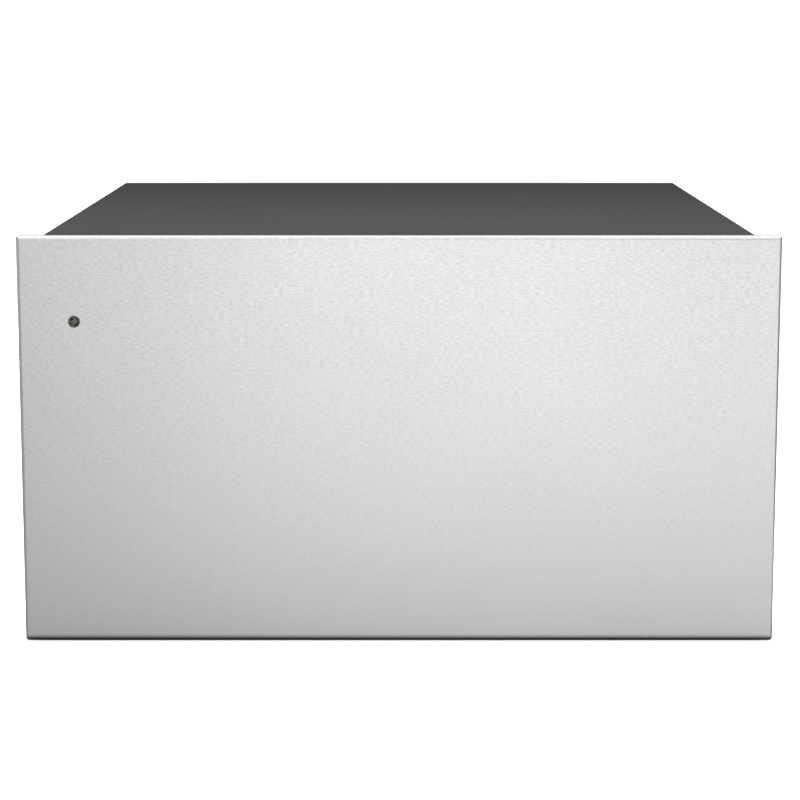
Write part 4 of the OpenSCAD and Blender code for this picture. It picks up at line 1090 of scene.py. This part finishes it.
@dataclass
class FrontPanel(SubAssembly):
    """Stainless front with its liner, insulation, seal and pilot light."""

    coats: Coats = ((BRUSHED, ("front_skin",)), (MILL_STAINLESS, ("front_liner",)))
    bezel: Pairs = (
        (2.6, -6.0), (3.4, -6.0), (3.4, 0.0), (4.65, 0.0), (4.65, 0.34), (4.59, 0.56), (4.42, 0.73),
        (4.2, 0.8), (3.98, 0.74), (3.84, 0.58), (3.78, 0.48), (3.24, 0.3), (3.16, 0.04), (2.66, 0.0),
        (2.6, -0.1), (2.6, -6.0),
    )
    lens: Pairs = (
        (0.0, -19.5), (2.3, -19.5), (2.5, -19.3), (2.5, 0.05), (2.4, 0.2), (2.05, 0.36), (1.85, 0.41),
        (1.5, 0.49), (0.95, 0.56), (0.6, 0.585), (0.0, 0.6),
    )
    pilot_sides: int = 72
    collar_r: float = 3.8
    spot_r: float = 0.62
    groove_shade_r: Pair = (1.9, 3.2)
    groove_shade_arcs: Pairs = ((108, 160), (188, 222), (284, 344))
    hidden_below: float = -0.05  # Height under which the front hides the pilot light
    least_level: float = 0.3  # Least upward part of the normal of a level face
    seal_w: float = 5.5
    seal_base: float = 1.2
    seal_side: float = 0.6  # Height of the base's sides, as a share of its thickness
    seal_chamfer: float = 0.7
    seal_corner: float = 0.8
    seal_bulb: float = 1.35
    bulb_sides: int = 14
    batt_loft: float = 0.7
    batt_lump: float = 16.0
    batt_hole: float = 3.8
    batt_fill: float = 0.4

    def build(self) -> None:
        """Adds the pilot light, the seal and the insulation."""
        middle = boxed("pilot_bezel")[2]
        place = (middle.x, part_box("front_skin")[0].y / MM, middle.z)
        self.pilot(place)
        self.seal()
        self.batt(place)

    def pilot(self, place: Point) -> None:
        """Builds the bezel and the lens.

        Args:
            place: Centre of the pilot light on the front's face.
        """
        bezel = self.pilot_part(self.bezel, self.collar_r, (BLACK_CHROME, COLLAR, BLACK_ABS), 2)
        lens = self.pilot_part(self.lens, self.spot_r, (SMOKED_LENS, LAMP_SPOT, BLACK_ABS), 0)
        for mesh in (bezel, lens):
            set_down(mesh, place, Facing.FRONT)
        show("pilot_bezel_ring", bezel, None, Body.DRAWER, Slot.BLACK_PLASTIC, "pilot_bezel")
        show("pilot_lens", lens, None, Body.DRAWER, Slot.LENS, "light_pipe")

    def pilot_part(self, section: Pairs, inner_r: float, finishes: Sequence[Finish], hidden: int) -> Mesh:
        """Turns a part of the pilot light and sorts its faces by finish.

        Args:
            section: Radius and height along its section.
            inner_r: Radius within which level faces have the second finish.
            finishes: Finish of its rim, of its inner face, and the black of the painted shade in broken arcs,
                where no groove is cut.
            hidden: Which of them the part has behind the front's face.

        Returns:
            The mesh, drawn around the origin.
        """
        mesh = turned(section, self.pilot_sides)
        for finish in finishes:
            mesh.materials.append(finish.material())
        # Painted shade: faces in the given arcs between these radii are made black, as if a groove's shadow
        # lay there
        start_r, end_r = self.groove_shade_r
        for face in mesh.polygons:
            x, y, z = face.center
            radius, angle = math.hypot(x, y) / MM, math.degrees(math.atan2(y, x)) % 360
            if z < self.hidden_below * MM:
                face.material_index = hidden
            elif start_r < radius < end_r and any(start < angle < end for start, end in self.groove_shade_arcs):
                face.material_index = 2
            elif radius < inner_r and face.normal.z > self.least_level:
                face.material_index = 1
        return smoothed(mesh)

    def seal(self) -> None:
        """Builds the seal: a flat base stuck to the liner and a round bulb on it."""
        low, size, middle = boxed("front_seal")

        def loop(inset: float, height: float) -> list[Point]:
            """Returns the seal's outline at an inset and a height."""
            corner = max(self.seal_w - inset, self.seal_corner)
            return rounded_ring(size.x - 2 * inset, size.z - 2 * inset, corner, height)

        w, t, cut = self.seal_w, self.seal_base, self.seal_chamfer
        side = t * self.seal_side
        section = ((0, 0), (0, side), (cut, t), (w - cut, t), (w, side), (w, 0), (0, 0))
        base = stacked([loop(u, v) for u, v in section], capped=False)
        line = path(loop(w / 2, size.y - self.seal_bulb), closed=True)
        bulb = grown(
            line, tube_tree(), Radius=self.seal_bulb * MM, Sides=self.bulb_sides, Surface=RUBBER.material()
        )
        mesh = smoothed(joined([base, bulb]), crease=40.0)
        set_down(mesh, (middle.x, low.y, middle.z), Facing.REAR)
        show("front_seal_bulb", mesh, RUBBER, Body.DRAWER, Slot.RUBBER, "front_seal")

    def batt(self, pilot: Point) -> None:
        """Builds the mineral wool between the sheets of the front.

        Args:
            pilot: Centre of the pilot light, which passes through the wool.
        """
        low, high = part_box("front_insulation")
        middle = (low + high) / 2
        mesh = grown(
            bpy.data.meshes.new("wool"), batt_tree(), Size=tuple(high - low), Loft=self.batt_loft * MM,
            Lump=per_mm(self.batt_lump), Hole=(pilot[0] * MM - middle.x, 0.0, pilot[2] * MM - middle.z),
            Bore=self.batt_hole * MM, Surface=WOOL.material(),
        )
        mesh.transform(Matrix.Translation(middle))
        smoothed(mesh, crease=60.0)
        batt = show("front_wool_batt", mesh, WOOL, Body.DRAWER, Slot.WOOL, "front_insulation")


@dataclass
class Casing(SubAssembly):
    """Powder-coated sheet casing on rubber feet, with the drawer bay's grille."""

    coats: Coats = (
        (POWDER_COAT, ("base_panel", *both_sides("side_panel"), "top_cover", "back_panel")),
        (MILL_STAINLESS, ("ceiling_grille",)),
        (RUBBER, ("feet",)),
    )


@dataclass
class DrawerTub(SubAssembly):
    """Stainless tub with its strike plate and a studded mat."""

    coats: Coats = ((MILL_STAINLESS, ("drawer_tub", "strike_plate")),)
    corner: float = 14.0
    sheet: float = 1.3
    border: float = 5.0
    border_rise: float = 0.5
    chamfer: float = 0.4
    slope: float = 0.5
    pitch: float = 14.0
    stud_foot: float = 3.7
    stud_crown: float = 2.6
    margin: float = 13.0

    def build(self) -> None:
        """Adds the mat, with a raised border and staggered studs."""
        low, size, middle = boxed("anti_slip_mat")
        top, cut = self.sheet + self.border_rise, self.chamfer
        section = (
            (self.slope, 0.0), (0.0, cut), (0.0, top - cut), (cut, top), (self.border - self.slope, top),
            (self.border, self.sheet),
        )
        loops = []
        for inset, height in section:
            loops.append(rounded_ring(size.x - 2 * inset, size.y - 2 * inset, self.corner - inset, height))
        width, depth = size.x - 2 * self.margin - self.pitch / 2, size.y - 2 * self.margin
        columns = round(width / self.pitch) + 1
        rows = round(depth / (self.pitch * math.sqrt(3) / 2)) + 1
        mesh = grown(
            stacked(loops), studs_tree(), Width=width * MM, Depth=depth * MM, Columns=columns, Rows=rows,
            Foot=self.stud_foot * MM, Crown=self.stud_crown * MM, Rise=(size.z - self.sheet) * MM,
            Level=self.sheet * MM, Surface=RUBBER.material(),
        )
        set_down(smoothed(mesh), (middle.x, middle.y, low.z))
        show("studded_mat", mesh, RUBBER, Body.DRAWER, Slot.RUBBER, "anti_slip_mat")


@dataclass
class Runners(SubAssembly):
    """Telescopic runners: rails, ball cages and balls."""

    coats: Coats = (
        (ZINC, both_sides("outer_rail", "middle_rail", "inner_rail", "outer_cage", "inner_cage")),
        (BALL_STEEL, both_sides("outer_balls", "inner_balls")),
    )


@dataclass
class FanHeater(SubAssembly):
    """Fan, motor and heating ring in the casing's head."""

    coats: Coats = (
        (MILL_STAINLESS, ("heater_pan",)),
        (SHEATH, ("heating_ring",)),
        (ZINC, ("heater_clips", "fan_shaft")),
        (LACQUER, ("fan_motor",)),
        (ALUMINIUM, ("fan_rotor",)),
        (BRASS, ("motor_posts",)),
        (BLACK_ABS, ("thermal_cutout",)),
    )


@dataclass
class Controls(SubAssembly):
    """Fascia behind the front, with its printed scale, the knob and the rocker switch."""

    coats: Coats = (
        (BLACK_ABS, ("control_fascia", "rocker_housing", "temperature_knob")),
        (PALE_POLYAMIDE, ("thermostat", "pilot_lamp")),
        (BRASS, ("knob_shaft",)),
        (RED_POLYCARBONATE, ("power_rocker",)),
    )
    ink: float = 0.06
    figures: tuple[str, ...] = ("0", "30", "40", "50", "60", "70", "80")
    figure_step: float = 45.0
    figure_h: float = 4.6
    figure_r: float = 30.0
    tick: Point = (3.0, 0.7, 0.06)
    tick_r: float = 24.0
    tick_short: float = 0.6  # Length of every second tick, as a share
    pointer: Pair = (1.3, 10.4)
    pointer_steps: Pairs = ((0.0, 0.0), (0.4, 0.0), (0.5, 0.2))
    pointer_r: float = 11.4
    pointer_sunk: float = 0.15
    rocker_tilt: float = 8.0
    rocker_face: Pair = (-2.8, -4.0)
    rocker_half: float = 9.3
    mark_h: float = 4.0
    mark_line: float = 0.55
    mark_corner: float = 0.22
    mark_sides: int = 32

    def build(self) -> None:
        """Adds the printed scale, the knob's pointer line and the rocker's marks."""
        low, _, middle = boxed("temperature_knob")
        centre = (middle.x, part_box("control_fascia")[0].y / MM, middle.z)
        self.scale(centre)
        self.pointer_line(centre, low.y)
        self.rocker_marks()

    def scale(self, centre: Point) -> None:
        """Prints the ticks and figures around the knob, clockwise from the top.

        Args:
            centre: Point of the fascia's face on the knob's axis.
        """
        ticks = grown(
            bpy.data.meshes.new("ticks"), marks_tree(), Count=2 * len(self.figures) - 1,
            Step=-math.radians(self.figure_step / 2), Radius=self.tick_r * MM,
            Bar=[s * MM for s in self.tick], Short=self.tick_short, Surface=INK.material(),
        )
        ticks.transform(Matrix.Rotation(math.pi / 2, 4, "Z"))
        parts = [set_down(ticks, (0, 0, self.ink / 2))]
        for i, words in enumerate(self.figures):
            angle = math.radians(90 - self.figure_step * i)
            place = (self.figure_r * math.cos(angle), self.figure_r * math.sin(angle), 0)
            parts.append(set_down(lettering(words, self.figure_h, self.ink), place))
        mesh = set_down(joined(parts), centre, Facing.FRONT)
        show("printed_scale", mesh, INK, Body.CASING, Slot.PALE_PLASTIC)

    def pointer_line(self, centre: Point, front: float) -> None:
        """Fills the groove of the knob with a line of paint.

        Args:
            centre: Point of the fascia's face on the knob's axis.
            front: Place of the knob's front along y.
        """
        width, length = self.pointer
        steps = self.pointer_steps
        mesh = stacked([rounded_ring(width - e, length - e, width / 2 - e, h) for h, e in steps])
        set_down(smoothed(mesh), (0, self.pointer_r, 0))
        place = (centre[0], front + self.pointer_sunk + steps[-1][0], centre[2])
        set_down(mesh, place, Facing.FRONT)
        show("knob_pointer_line", mesh, INK, Body.KNOB, Slot.PALE_PLASTIC)

    def rocker_marks(self) -> None:
        """Prints a ring and a bar, for off and on, on the two halves of the rocker."""
        inner, outer = self.rocker_face
        slope = math.atan2(inner - outer, self.rocker_half)
        half, line, ink = self.mark_h / 2, self.mark_line, self.ink
        section = ((half, 0), (half, ink), (half - line, ink), (half - line, 0), (half, 0))
        off = turned(section, self.mark_sides)
        on = stacked([rounded_ring(line, self.mark_h, self.mark_corner, h) for h in (0, ink)])
        for mark, side in ((off, 1), (on, -1)):
            middle = Vector((0, (inner + outer) / 2, side * self.rocker_half / 2)) * MM
            lean = Matrix.Rotation(side * slope, 4, "X")
            mark.transform(Matrix.Translation(middle) @ lean @ Facing.FRONT.value)
        mesh = joined([off, on])
        mesh.transform(Matrix.Rotation(math.radians(-self.rocker_tilt), 4, "X"))
        pivot = next(j for j in frame["joints"] if j["name"] == "rocker_tip")
        mesh.transform(Matrix.Translation(Vector(pivot["pos_m"])))
        show("rocker_marks", mesh, INK, Body.ROCKER, Slot.PALE_PLASTIC)


@dataclass
class PushLatch(SubAssembly):
    """Sprung magnetic latch behind the tub."""

    coats: Coats = (
        (PALE_POLYAMIDE, ("latch_body",)),
        (GREY_ACETAL, ("latch_plunger",)),
        (NICKEL, ("latch_magnet",)),
    )
    turns: int = 6
    steps: int = 28
    sides: int = 12
    wire: float = 0.9
    stroke: float = 3.0

    def build(self) -> None:
        """Adds the coil spring."""
        low, size, middle = boxed("latch_spring")
        radius, length = (size.x - self.wire) / 2, size.y - self.wire
        count = self.turns * self.steps
        line = []
        for i in range(count + 1):
            angle = 2 * math.pi * i / self.steps
            line.append((radius * math.cos(angle), length * i / count, radius * math.sin(angle)))
        mesh = grown(
            path(line, closed=False), tube_tree(), Radius=self.wire / 2 * MM, Sides=self.sides,
            Surface=ZINC.material(),
        )
        set_down(smoothed(mesh), (middle.x, low.y + self.wire / 2, middle.z))
        coil = show("latch_coil", mesh, ZINC, Body.CASING, Slot.ZINC, "latch_spring")
        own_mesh(coil)


@dataclass
class MainsBox(SubAssembly):
    """Terminal cover at the back, with its block and cord gland."""

    coats: Coats = (
        (BLACK_ABS, ("terminal_cover", "cable_gland", "gland_locknut")),
        (PALE_POLYAMIDE, ("terminal_block",)),
    )
    grips: int = 16
    grip: Point = (1.0, 1.1, 5.0)
    grip_r: float = 7.2
    collar_low: float = 6.8

    def build(self) -> None:
        """Adds the finger grips around the gland's cap."""
        middle = boxed("cable_gland")[2]
        mesh = grown(
            bpy.data.meshes.new("grips"), marks_tree(), Count=self.grips, Step=2 * math.pi / self.grips,
            Radius=self.grip_r * MM, Bar=[s * MM for s in self.grip], Short=1.0, Surface=BLACK_ABS.material(),
        )
        set_down(mesh, (middle.x, middle.y, boxed("terminal_cover")[0].z - self.collar_low))
        show("gland_grips", mesh, BLACK_ABS, Body.CASING, Slot.BLACK_PLASTIC)


@dataclass(frozen=True)
class Fastener:
    """Form of a screw or rivet.

    Attributes:
        head_r: Radius of the head.
        head_h: Height of the head.
        shank_r: Radius of the shank.
        tip: How far the shank's end is drawn in, and along which length.
        rim: Width and height of the chamfer under the head's rim.
        crown: Shares of the head's radius and height along its crown.
        recess: Length, width and depth of the cross in the head, if it has one.
        taper: Share of these sizes at the bottom of the cross.
        rounding: Share of its width to which the cross is rounded.
        sides: Sides of the turned form.
    """

    head_r: float
    head_h: float
    shank_r: float
    tip: Pair
    rim: Pair
    crown: Pairs
    recess: Point | None = None
    taper: float = 0.45
    rounding: float = 0.3
    sides: int = 28

    def made(self, length: float) -> Mesh:
        """Makes one fastener.

        Args:
            length: Length of the shank in millimetres.

        Returns:
            The mesh, with its head's seat at z = 0.
        """
        (inset, along), (rim_w, rim_h) = self.tip, self.rim
        head_r, shank_r = self.head_r, self.shank_r
        shank = ((0, -length), (shank_r - inset, -length), (shank_r, along - length), (shank_r, 0))
        seat = ((head_r - rim_w, 0), (head_r, rim_h))
        crown = tuple((head_r * a, self.head_h * b) for a, b in self.crown)
        mesh = turned((*shank, *seat, *crown), self.sides)
        return self.crossed(mesh) if self.recess else mesh

    def crossed(self, mesh: Mesh) -> Mesh:
        """Cuts the cross into the head.

        Args:
            mesh: Screw without it.

        Returns:
            The finished screw.
        """
        across, wide, deep = self.recess
        # The cutter starts a millimetre above the head, and narrows from the head's top down
        levels = ((self.head_h + 1, 1.0), (self.head_h, 1.0), (self.head_h - deep, self.taper))
        loops = [rounded_ring(across * k, wide * k, wide * k * self.rounding, z, steps=2) for z, k in levels]
        head, cutters = placed("head", mesh), []
        for turn in (0, 90):
            bar = stacked(loops)
            bar.transform(Matrix.Rotation(math.radians(turn), 4, "Z"))
            cutters.append(placed("cutter", bar))
            cut = head.modifiers.new("recess", "BOOLEAN")
            cut.operation, cut.object, cut.solver = "DIFFERENCE", cutters[-1], "EXACT"
        return plain(head, *cutters)


PAN_SCREW = Fastener(
    3.4, 1.8, 1.7, (0.51, 0.4), (0.15, 0.15),
    ((1.0, 0.42), (0.94, 0.68), (0.8, 0.87), (0.55, 0.97), (0.0, 1.0)), (4.0, 0.75, 1.1),
)
RIVET = Fastener(
    4.0, 1.2, 2.0, (0.3, 0.3), (0.1, 0.12),
    ((0.93, 0.45), (0.75, 0.8), (0.5, 1.0), (0.32, 1.0), (0.28, 0.6), (0.0, 0.5)),
)


@dataclass
class Fasteners(SubAssembly):
    """Cross-head screws and rivets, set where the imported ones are."""

    seed: int = 7
    rim_share: float = 0.97  # Share of the greatest radius beyond which a point is on the head's rim
    sets: tuple[tuple[str, str, Body, Fastener], ...] = (
        ("cover_screws", "cover_screw_set", Body.CASING, PAN_SCREW),
        ("back_screws", "back_screw_set", Body.CASING, PAN_SCREW),
        ("inner_rail_screws", "inner_rail_screw_set", Body.DRAWER, PAN_SCREW),
        ("front_screws", "front_screw_set", Body.DRAWER, PAN_SCREW),
        ("rail_rivets", "rail_rivet_set", Body.CASING, RIVET),
    )

    def build(self) -> None:
        """Sets every fastener on its place."""
        tree = fastener_tree()
        for node, name, body, fastener in self.sets:
            groups: dict[float, list[tuple[Vector, Vector]]] = {}
            for points in self.apart(node):
                seat, aim, length = self.measure(points, fastener.head_h * MM)
                groups.setdefault(round(length / MM, 1), []).append((seat, aim))
            meshes = [self.spread(tree, fastener.made(length), spots) for length, spots in groups.items()]
            show(name, smoothed(joined(meshes)), ZINC, body, Slot.ZINC, node)

    def apart(self, node: str) -> list[list[Vector]]:
        """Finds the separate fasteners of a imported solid.

        Args:
            node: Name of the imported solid.

        Returns:
            The points of each fastener, in metres.
        """
        bm = bmesh.new()
        bm.from_mesh(frame["nodes"][node].data)
        bmesh.ops.remove_doubles(bm, verts=bm.verts, dist=MERGED)
        left, found = set(bm.verts), []
        while left:
            group, edge = [], [min(left, key=lambda v: v.index)]
            while edge:
                vert = edge.pop()
                if vert in left:
                    left.discard(vert)
                    group.append(vert.co.copy())
                    edge.extend(e.other_vert(vert) for e in vert.link_edges)
            found.append(group)
        bm.free()
        return found

    def measure(self, points: list[Vector], head_h: float) -> tuple[Vector, Vector, float]:
        """Reads one fastener's place from its points.

        Args:
            points: Points of one fastener, in metres.
            head_h: Height of its head, in metres.

        Returns:
            The head's seat, the way that it faces, and the shank's length, in metres.
        """
        low, high = (Vector([pick(p[i] for p in points) for i in range(3)]) for pick in (min, max))
        size, middle = high - low, (low + high) / 2
        axis = max(range(3), key=lambda i: sum(abs(size[i] - other) for other in size))
        across = [i for i in range(3) if i != axis]
        reach = [math.dist([p[i] for i in across], [middle[i] for i in across]) for p in points]
        rim = [p[axis] for p, r in zip(points, reach) if r > max(reach) * self.rim_share]
        way = 1 if sum(rim) / len(rim) > middle[axis] else -1
        aim = Vector([way if i == axis else 0 for i in range(3)])
        seat = middle.copy()
        seat[axis] = (high[axis] if way > 0 else low[axis]) - way * head_h
        return seat, aim, size[axis] - head_h

    def spread(self, tree: NodeTree, pattern: Mesh, spots: list[tuple[Vector, Vector]]) -> Mesh:
        """Sets a pattern on each spot.

        Args:
            tree: Tree that sets fasteners.
            pattern: Mesh of one fastener.
            spots: Seat and aim of each fastener.

        Returns:
            One mesh with all of them.
        """
        model = placed("pattern", pattern)
        cloud = bpy.data.meshes.new("spots")
        cloud.from_pydata([seat for seat, _ in spots], [], [])
        aims = cloud.attributes.new("aim", "FLOAT_VECTOR", "POINT")
        aims.data.foreach_set("vector", [c for _, aim in spots for c in aim])
        mesh = grown(cloud, tree, Pattern=model, Seed=self.seed, Surface=ZINC.material())
        bpy.data.objects.remove(model)
        return mesh


# Studio


@dataclass(frozen=True)
class SkyPatch:
    """A soft-edged patch of the surrounding light.

    Attributes:
        gain: Light that it adds, or takes away, as a share of the sky's own.
        left: Turns in degrees between which its left edge comes up.
        right: Turns in degrees between which its right edge goes down.
        top: Heights between which it ends, as sines of the elevation.
        rear: Whether turns are counted from the rear, not from the front.
    """

    gain: float
    left: Pair
    right: Pair
    top: Pair
    rear: bool = False

    def light(self, tree: NodeTree, way: Node) -> Node:
        """Adds the patch's own light.

        Args:
            tree: Tree of the surrounding light.
            way: Node that gives the three parts of the direction.

        Returns:
            The node that holds its light as a share of the sky's own.
        """
        x, y, z = way.outputs
        ahead = add(tree, MATH, {0: y, 1: 1.0 if self.rear else -1.0}, operation="MULTIPLY")
        turn = add(tree, MATH, {0: x, 1: ahead}, operation="ARCTAN2")
        light = self.gain
        left, right = ([math.radians(angle) for angle in side] for side in (self.left, self.right[::-1]))
        for value, (start, end) in ((turn, left), (turn, right), (z, self.top[::-1])):
            span = {"Value": value, "From Min": start, "From Max": end}
            edge = add(tree, MAP_RANGE, span, interpolation_type="SMOOTHSTEP")
            light = add(tree, MATH, {0: edge, 1: light}, operation="MULTIPLY")
        return light


@dataclass(frozen=True)
class SoftBox:
    """A soft lamp that isn't seen itself nor in reflections.

    Attributes:
        name: Name of the lamp.
        place: Its middle, in millimetres.
        size: Its width and height, in millimetres.
        power: Its power in watts.
        tilt: Degrees from shining straight down to shining level.
        heading: Degrees that it is turned about the vertical from shining to the rear.
        flags: Names of the objects that it is kept off.
    """

    name: str
    place: Point
    size: Pair
    power: float
    tilt: float = 0.0
    heading: float = 0.0
    flags: tuple[str, ...] = ("floor_in_reflections",)

    def hang(self) -> None:
        """Hangs the lamp and flags what it is kept off."""
        data = bpy.data.lights.new(self.name, "AREA")
        data.shape, data.energy = "RECTANGLE", self.power
        data.size, data.size_y = (s * MM for s in self.size)
        lamp = placed(self.name, data)
        lamp.location = Vector(self.place) * MM
        lamp.rotation_euler = (math.radians(self.tilt), 0.0, math.radians(self.heading))
        lamp.visible_camera = lamp.visible_glossy = False
        kept_off = bpy.data.collections.new(self.name + "_flags")
        for name in self.flags:
            kept_off.objects.link(bpy.data.objects[name])
        for row in kept_off.collection_objects:
            row.light_linking.link_state = "EXCLUDE"
        lamp.light_linking.receiver_collection = kept_off


@dataclass
class Studio:
    """White floor, soft light and the camera at the photograph's angle."""

    floor_half: float = 14000.0
    card_level: float = -1.0
    lens: float = 99.403
    sensor: float = 36.0
    sight: float = 100000.0
    pitch: float = 8.757
    stand: Point = (0.756, -1990.1, 497.9)
    shift: float = -0.0617
    light: float = 1.2
    patches: tuple[SkyPatch, ...] = (
        SkyPatch(-0.82, (-60.0, -40.0), (-24.0, 3.0), (0.3, 0.7)),
        SkyPatch(-0.95, (0.0, 14.0), (18.0, 32.0), (0.3, 0.7)),
        SkyPatch(-0.6, (34.0, 50.0), (100.0, 130.0), (0.3, 0.7)),
        SkyPatch(0.5, (-65.0, -25.0), (25.0, 65.0), (0.15, 0.4), rear=True),
    )
    boxes: tuple[SoftBox, ...] = (
        SoftBox("front_soft_box", (0.0, -220.0, 900.0), (1500.0, 300.0), 20.0),
        SoftBox("left_soft_box", (-1600.0, 100.0, 260.0), (900.0, 400.0), 18.0, 90.0, -90.0),
        SoftBox("right_soft_box", (1600.0, 100.0, 260.0), (900.0, 400.0), 14.0, 90.0, 90.0),
        SoftBox("back_soft_box", (-300.0, 1700.0, 260.0), (900.0, 400.0), 20.0, 90.0, 180.0),
        SoftBox(
            "controls_soft_box", (0.0, -2300.0, 330.0), (900.0, 300.0), 60.0, 90.0,
            flags=("floor_in_reflections", "floor_paper", "pilot_lens", "pilot_bezel_ring"),
        ),
    )

    def build(self) -> None:
        """Sets up floor, light and camera."""
        self.floors()
        self.sky()
        for box in self.boxes:
            box.hang()
        self.camera()

    def floors(self) -> None:
        """Lays the pale floor that the camera sees, and a graduated one that only reflections see."""
        seen = self.floor("floor_paper", 0.0, WHITE_PAPER)
        seen.visible_glossy = seen.visible_diffuse = seen.visible_transmission = seen.visible_shadow = False
        self.floor("floor_in_reflections", self.card_level, GREY_PAPER).visible_camera = False

    def floor(self, name: str, level: float, finish: Finish) -> Object:
        """Lays one square sheet.

        Args:
            name: Name of the sheet.
            level: Its height in millimetres.
            finish: Its finish.

        Returns:
            The sheet.
        """
        mesh = bpy.data.meshes.new(name)
        half = self.floor_half
        corners = ((-half, -half), (half, -half), (half, half), (-half, half))
        mesh.from_pydata([Vector((*corner, level)) * MM for corner in corners], [], [(0, 1, 2, 3)])
        mesh.materials.append(finish.material())
        sheet = placed(name, mesh)
        return sheet

    def sky(self) -> None:
        """Surrounds the drawer with soft light, darker at both sides of the front and brighter behind."""
        world = bpy.data.worlds.new("studio_light")
        world.use_nodes = True
        bpy.context.scene.world = world
        bpy.context.scene.view_settings.view_transform = "Standard"
        tree = world.node_tree
        way = add(tree, SEPARATE, {0: add(tree, COORDINATES).outputs["Generated"]})
        share = 1.0
        for patch in self.patches:
            share = add(tree, MATH, {0: patch.light(tree, way), 1: share}, operation="ADD")
        total = add(tree, MATH, {0: share, 1: self.light}, operation="MULTIPLY")
        feed(tree, tree.nodes["Background"], {"Color": srgb("#ffffff"), "Strength": total})

    def camera(self) -> None:
        """Stands the camera where the photograph was taken from."""
        data = bpy.data.cameras.new("photograph")
        data.lens, data.sensor_width, data.shift_y = self.lens, self.sensor, self.shift
        data.clip_end = self.sight * MM
        camera = placed("photograph", data)
        camera.location = Vector(self.stand) * MM
        camera.rotation_euler = (math.radians(90 - self.pitch), 0, 0)
        bpy.context.scene.camera = camera


def main() -> None:
    """Dresses every sub-assembly in order and builds the studio around them."""
    logging.basicConfig(level=logging.INFO, format="%(name)s %(message)s")
    groups = (
        FrontPanel(), Casing(), DrawerTub(), Runners(), FanHeater(), Controls(), PushLatch(), MainsBox(),
        Fasteners(),
    )
    for group in groups:
        group.dress()
        group.build()
    Studio().build()


if __name__ == "__main__":
    main()
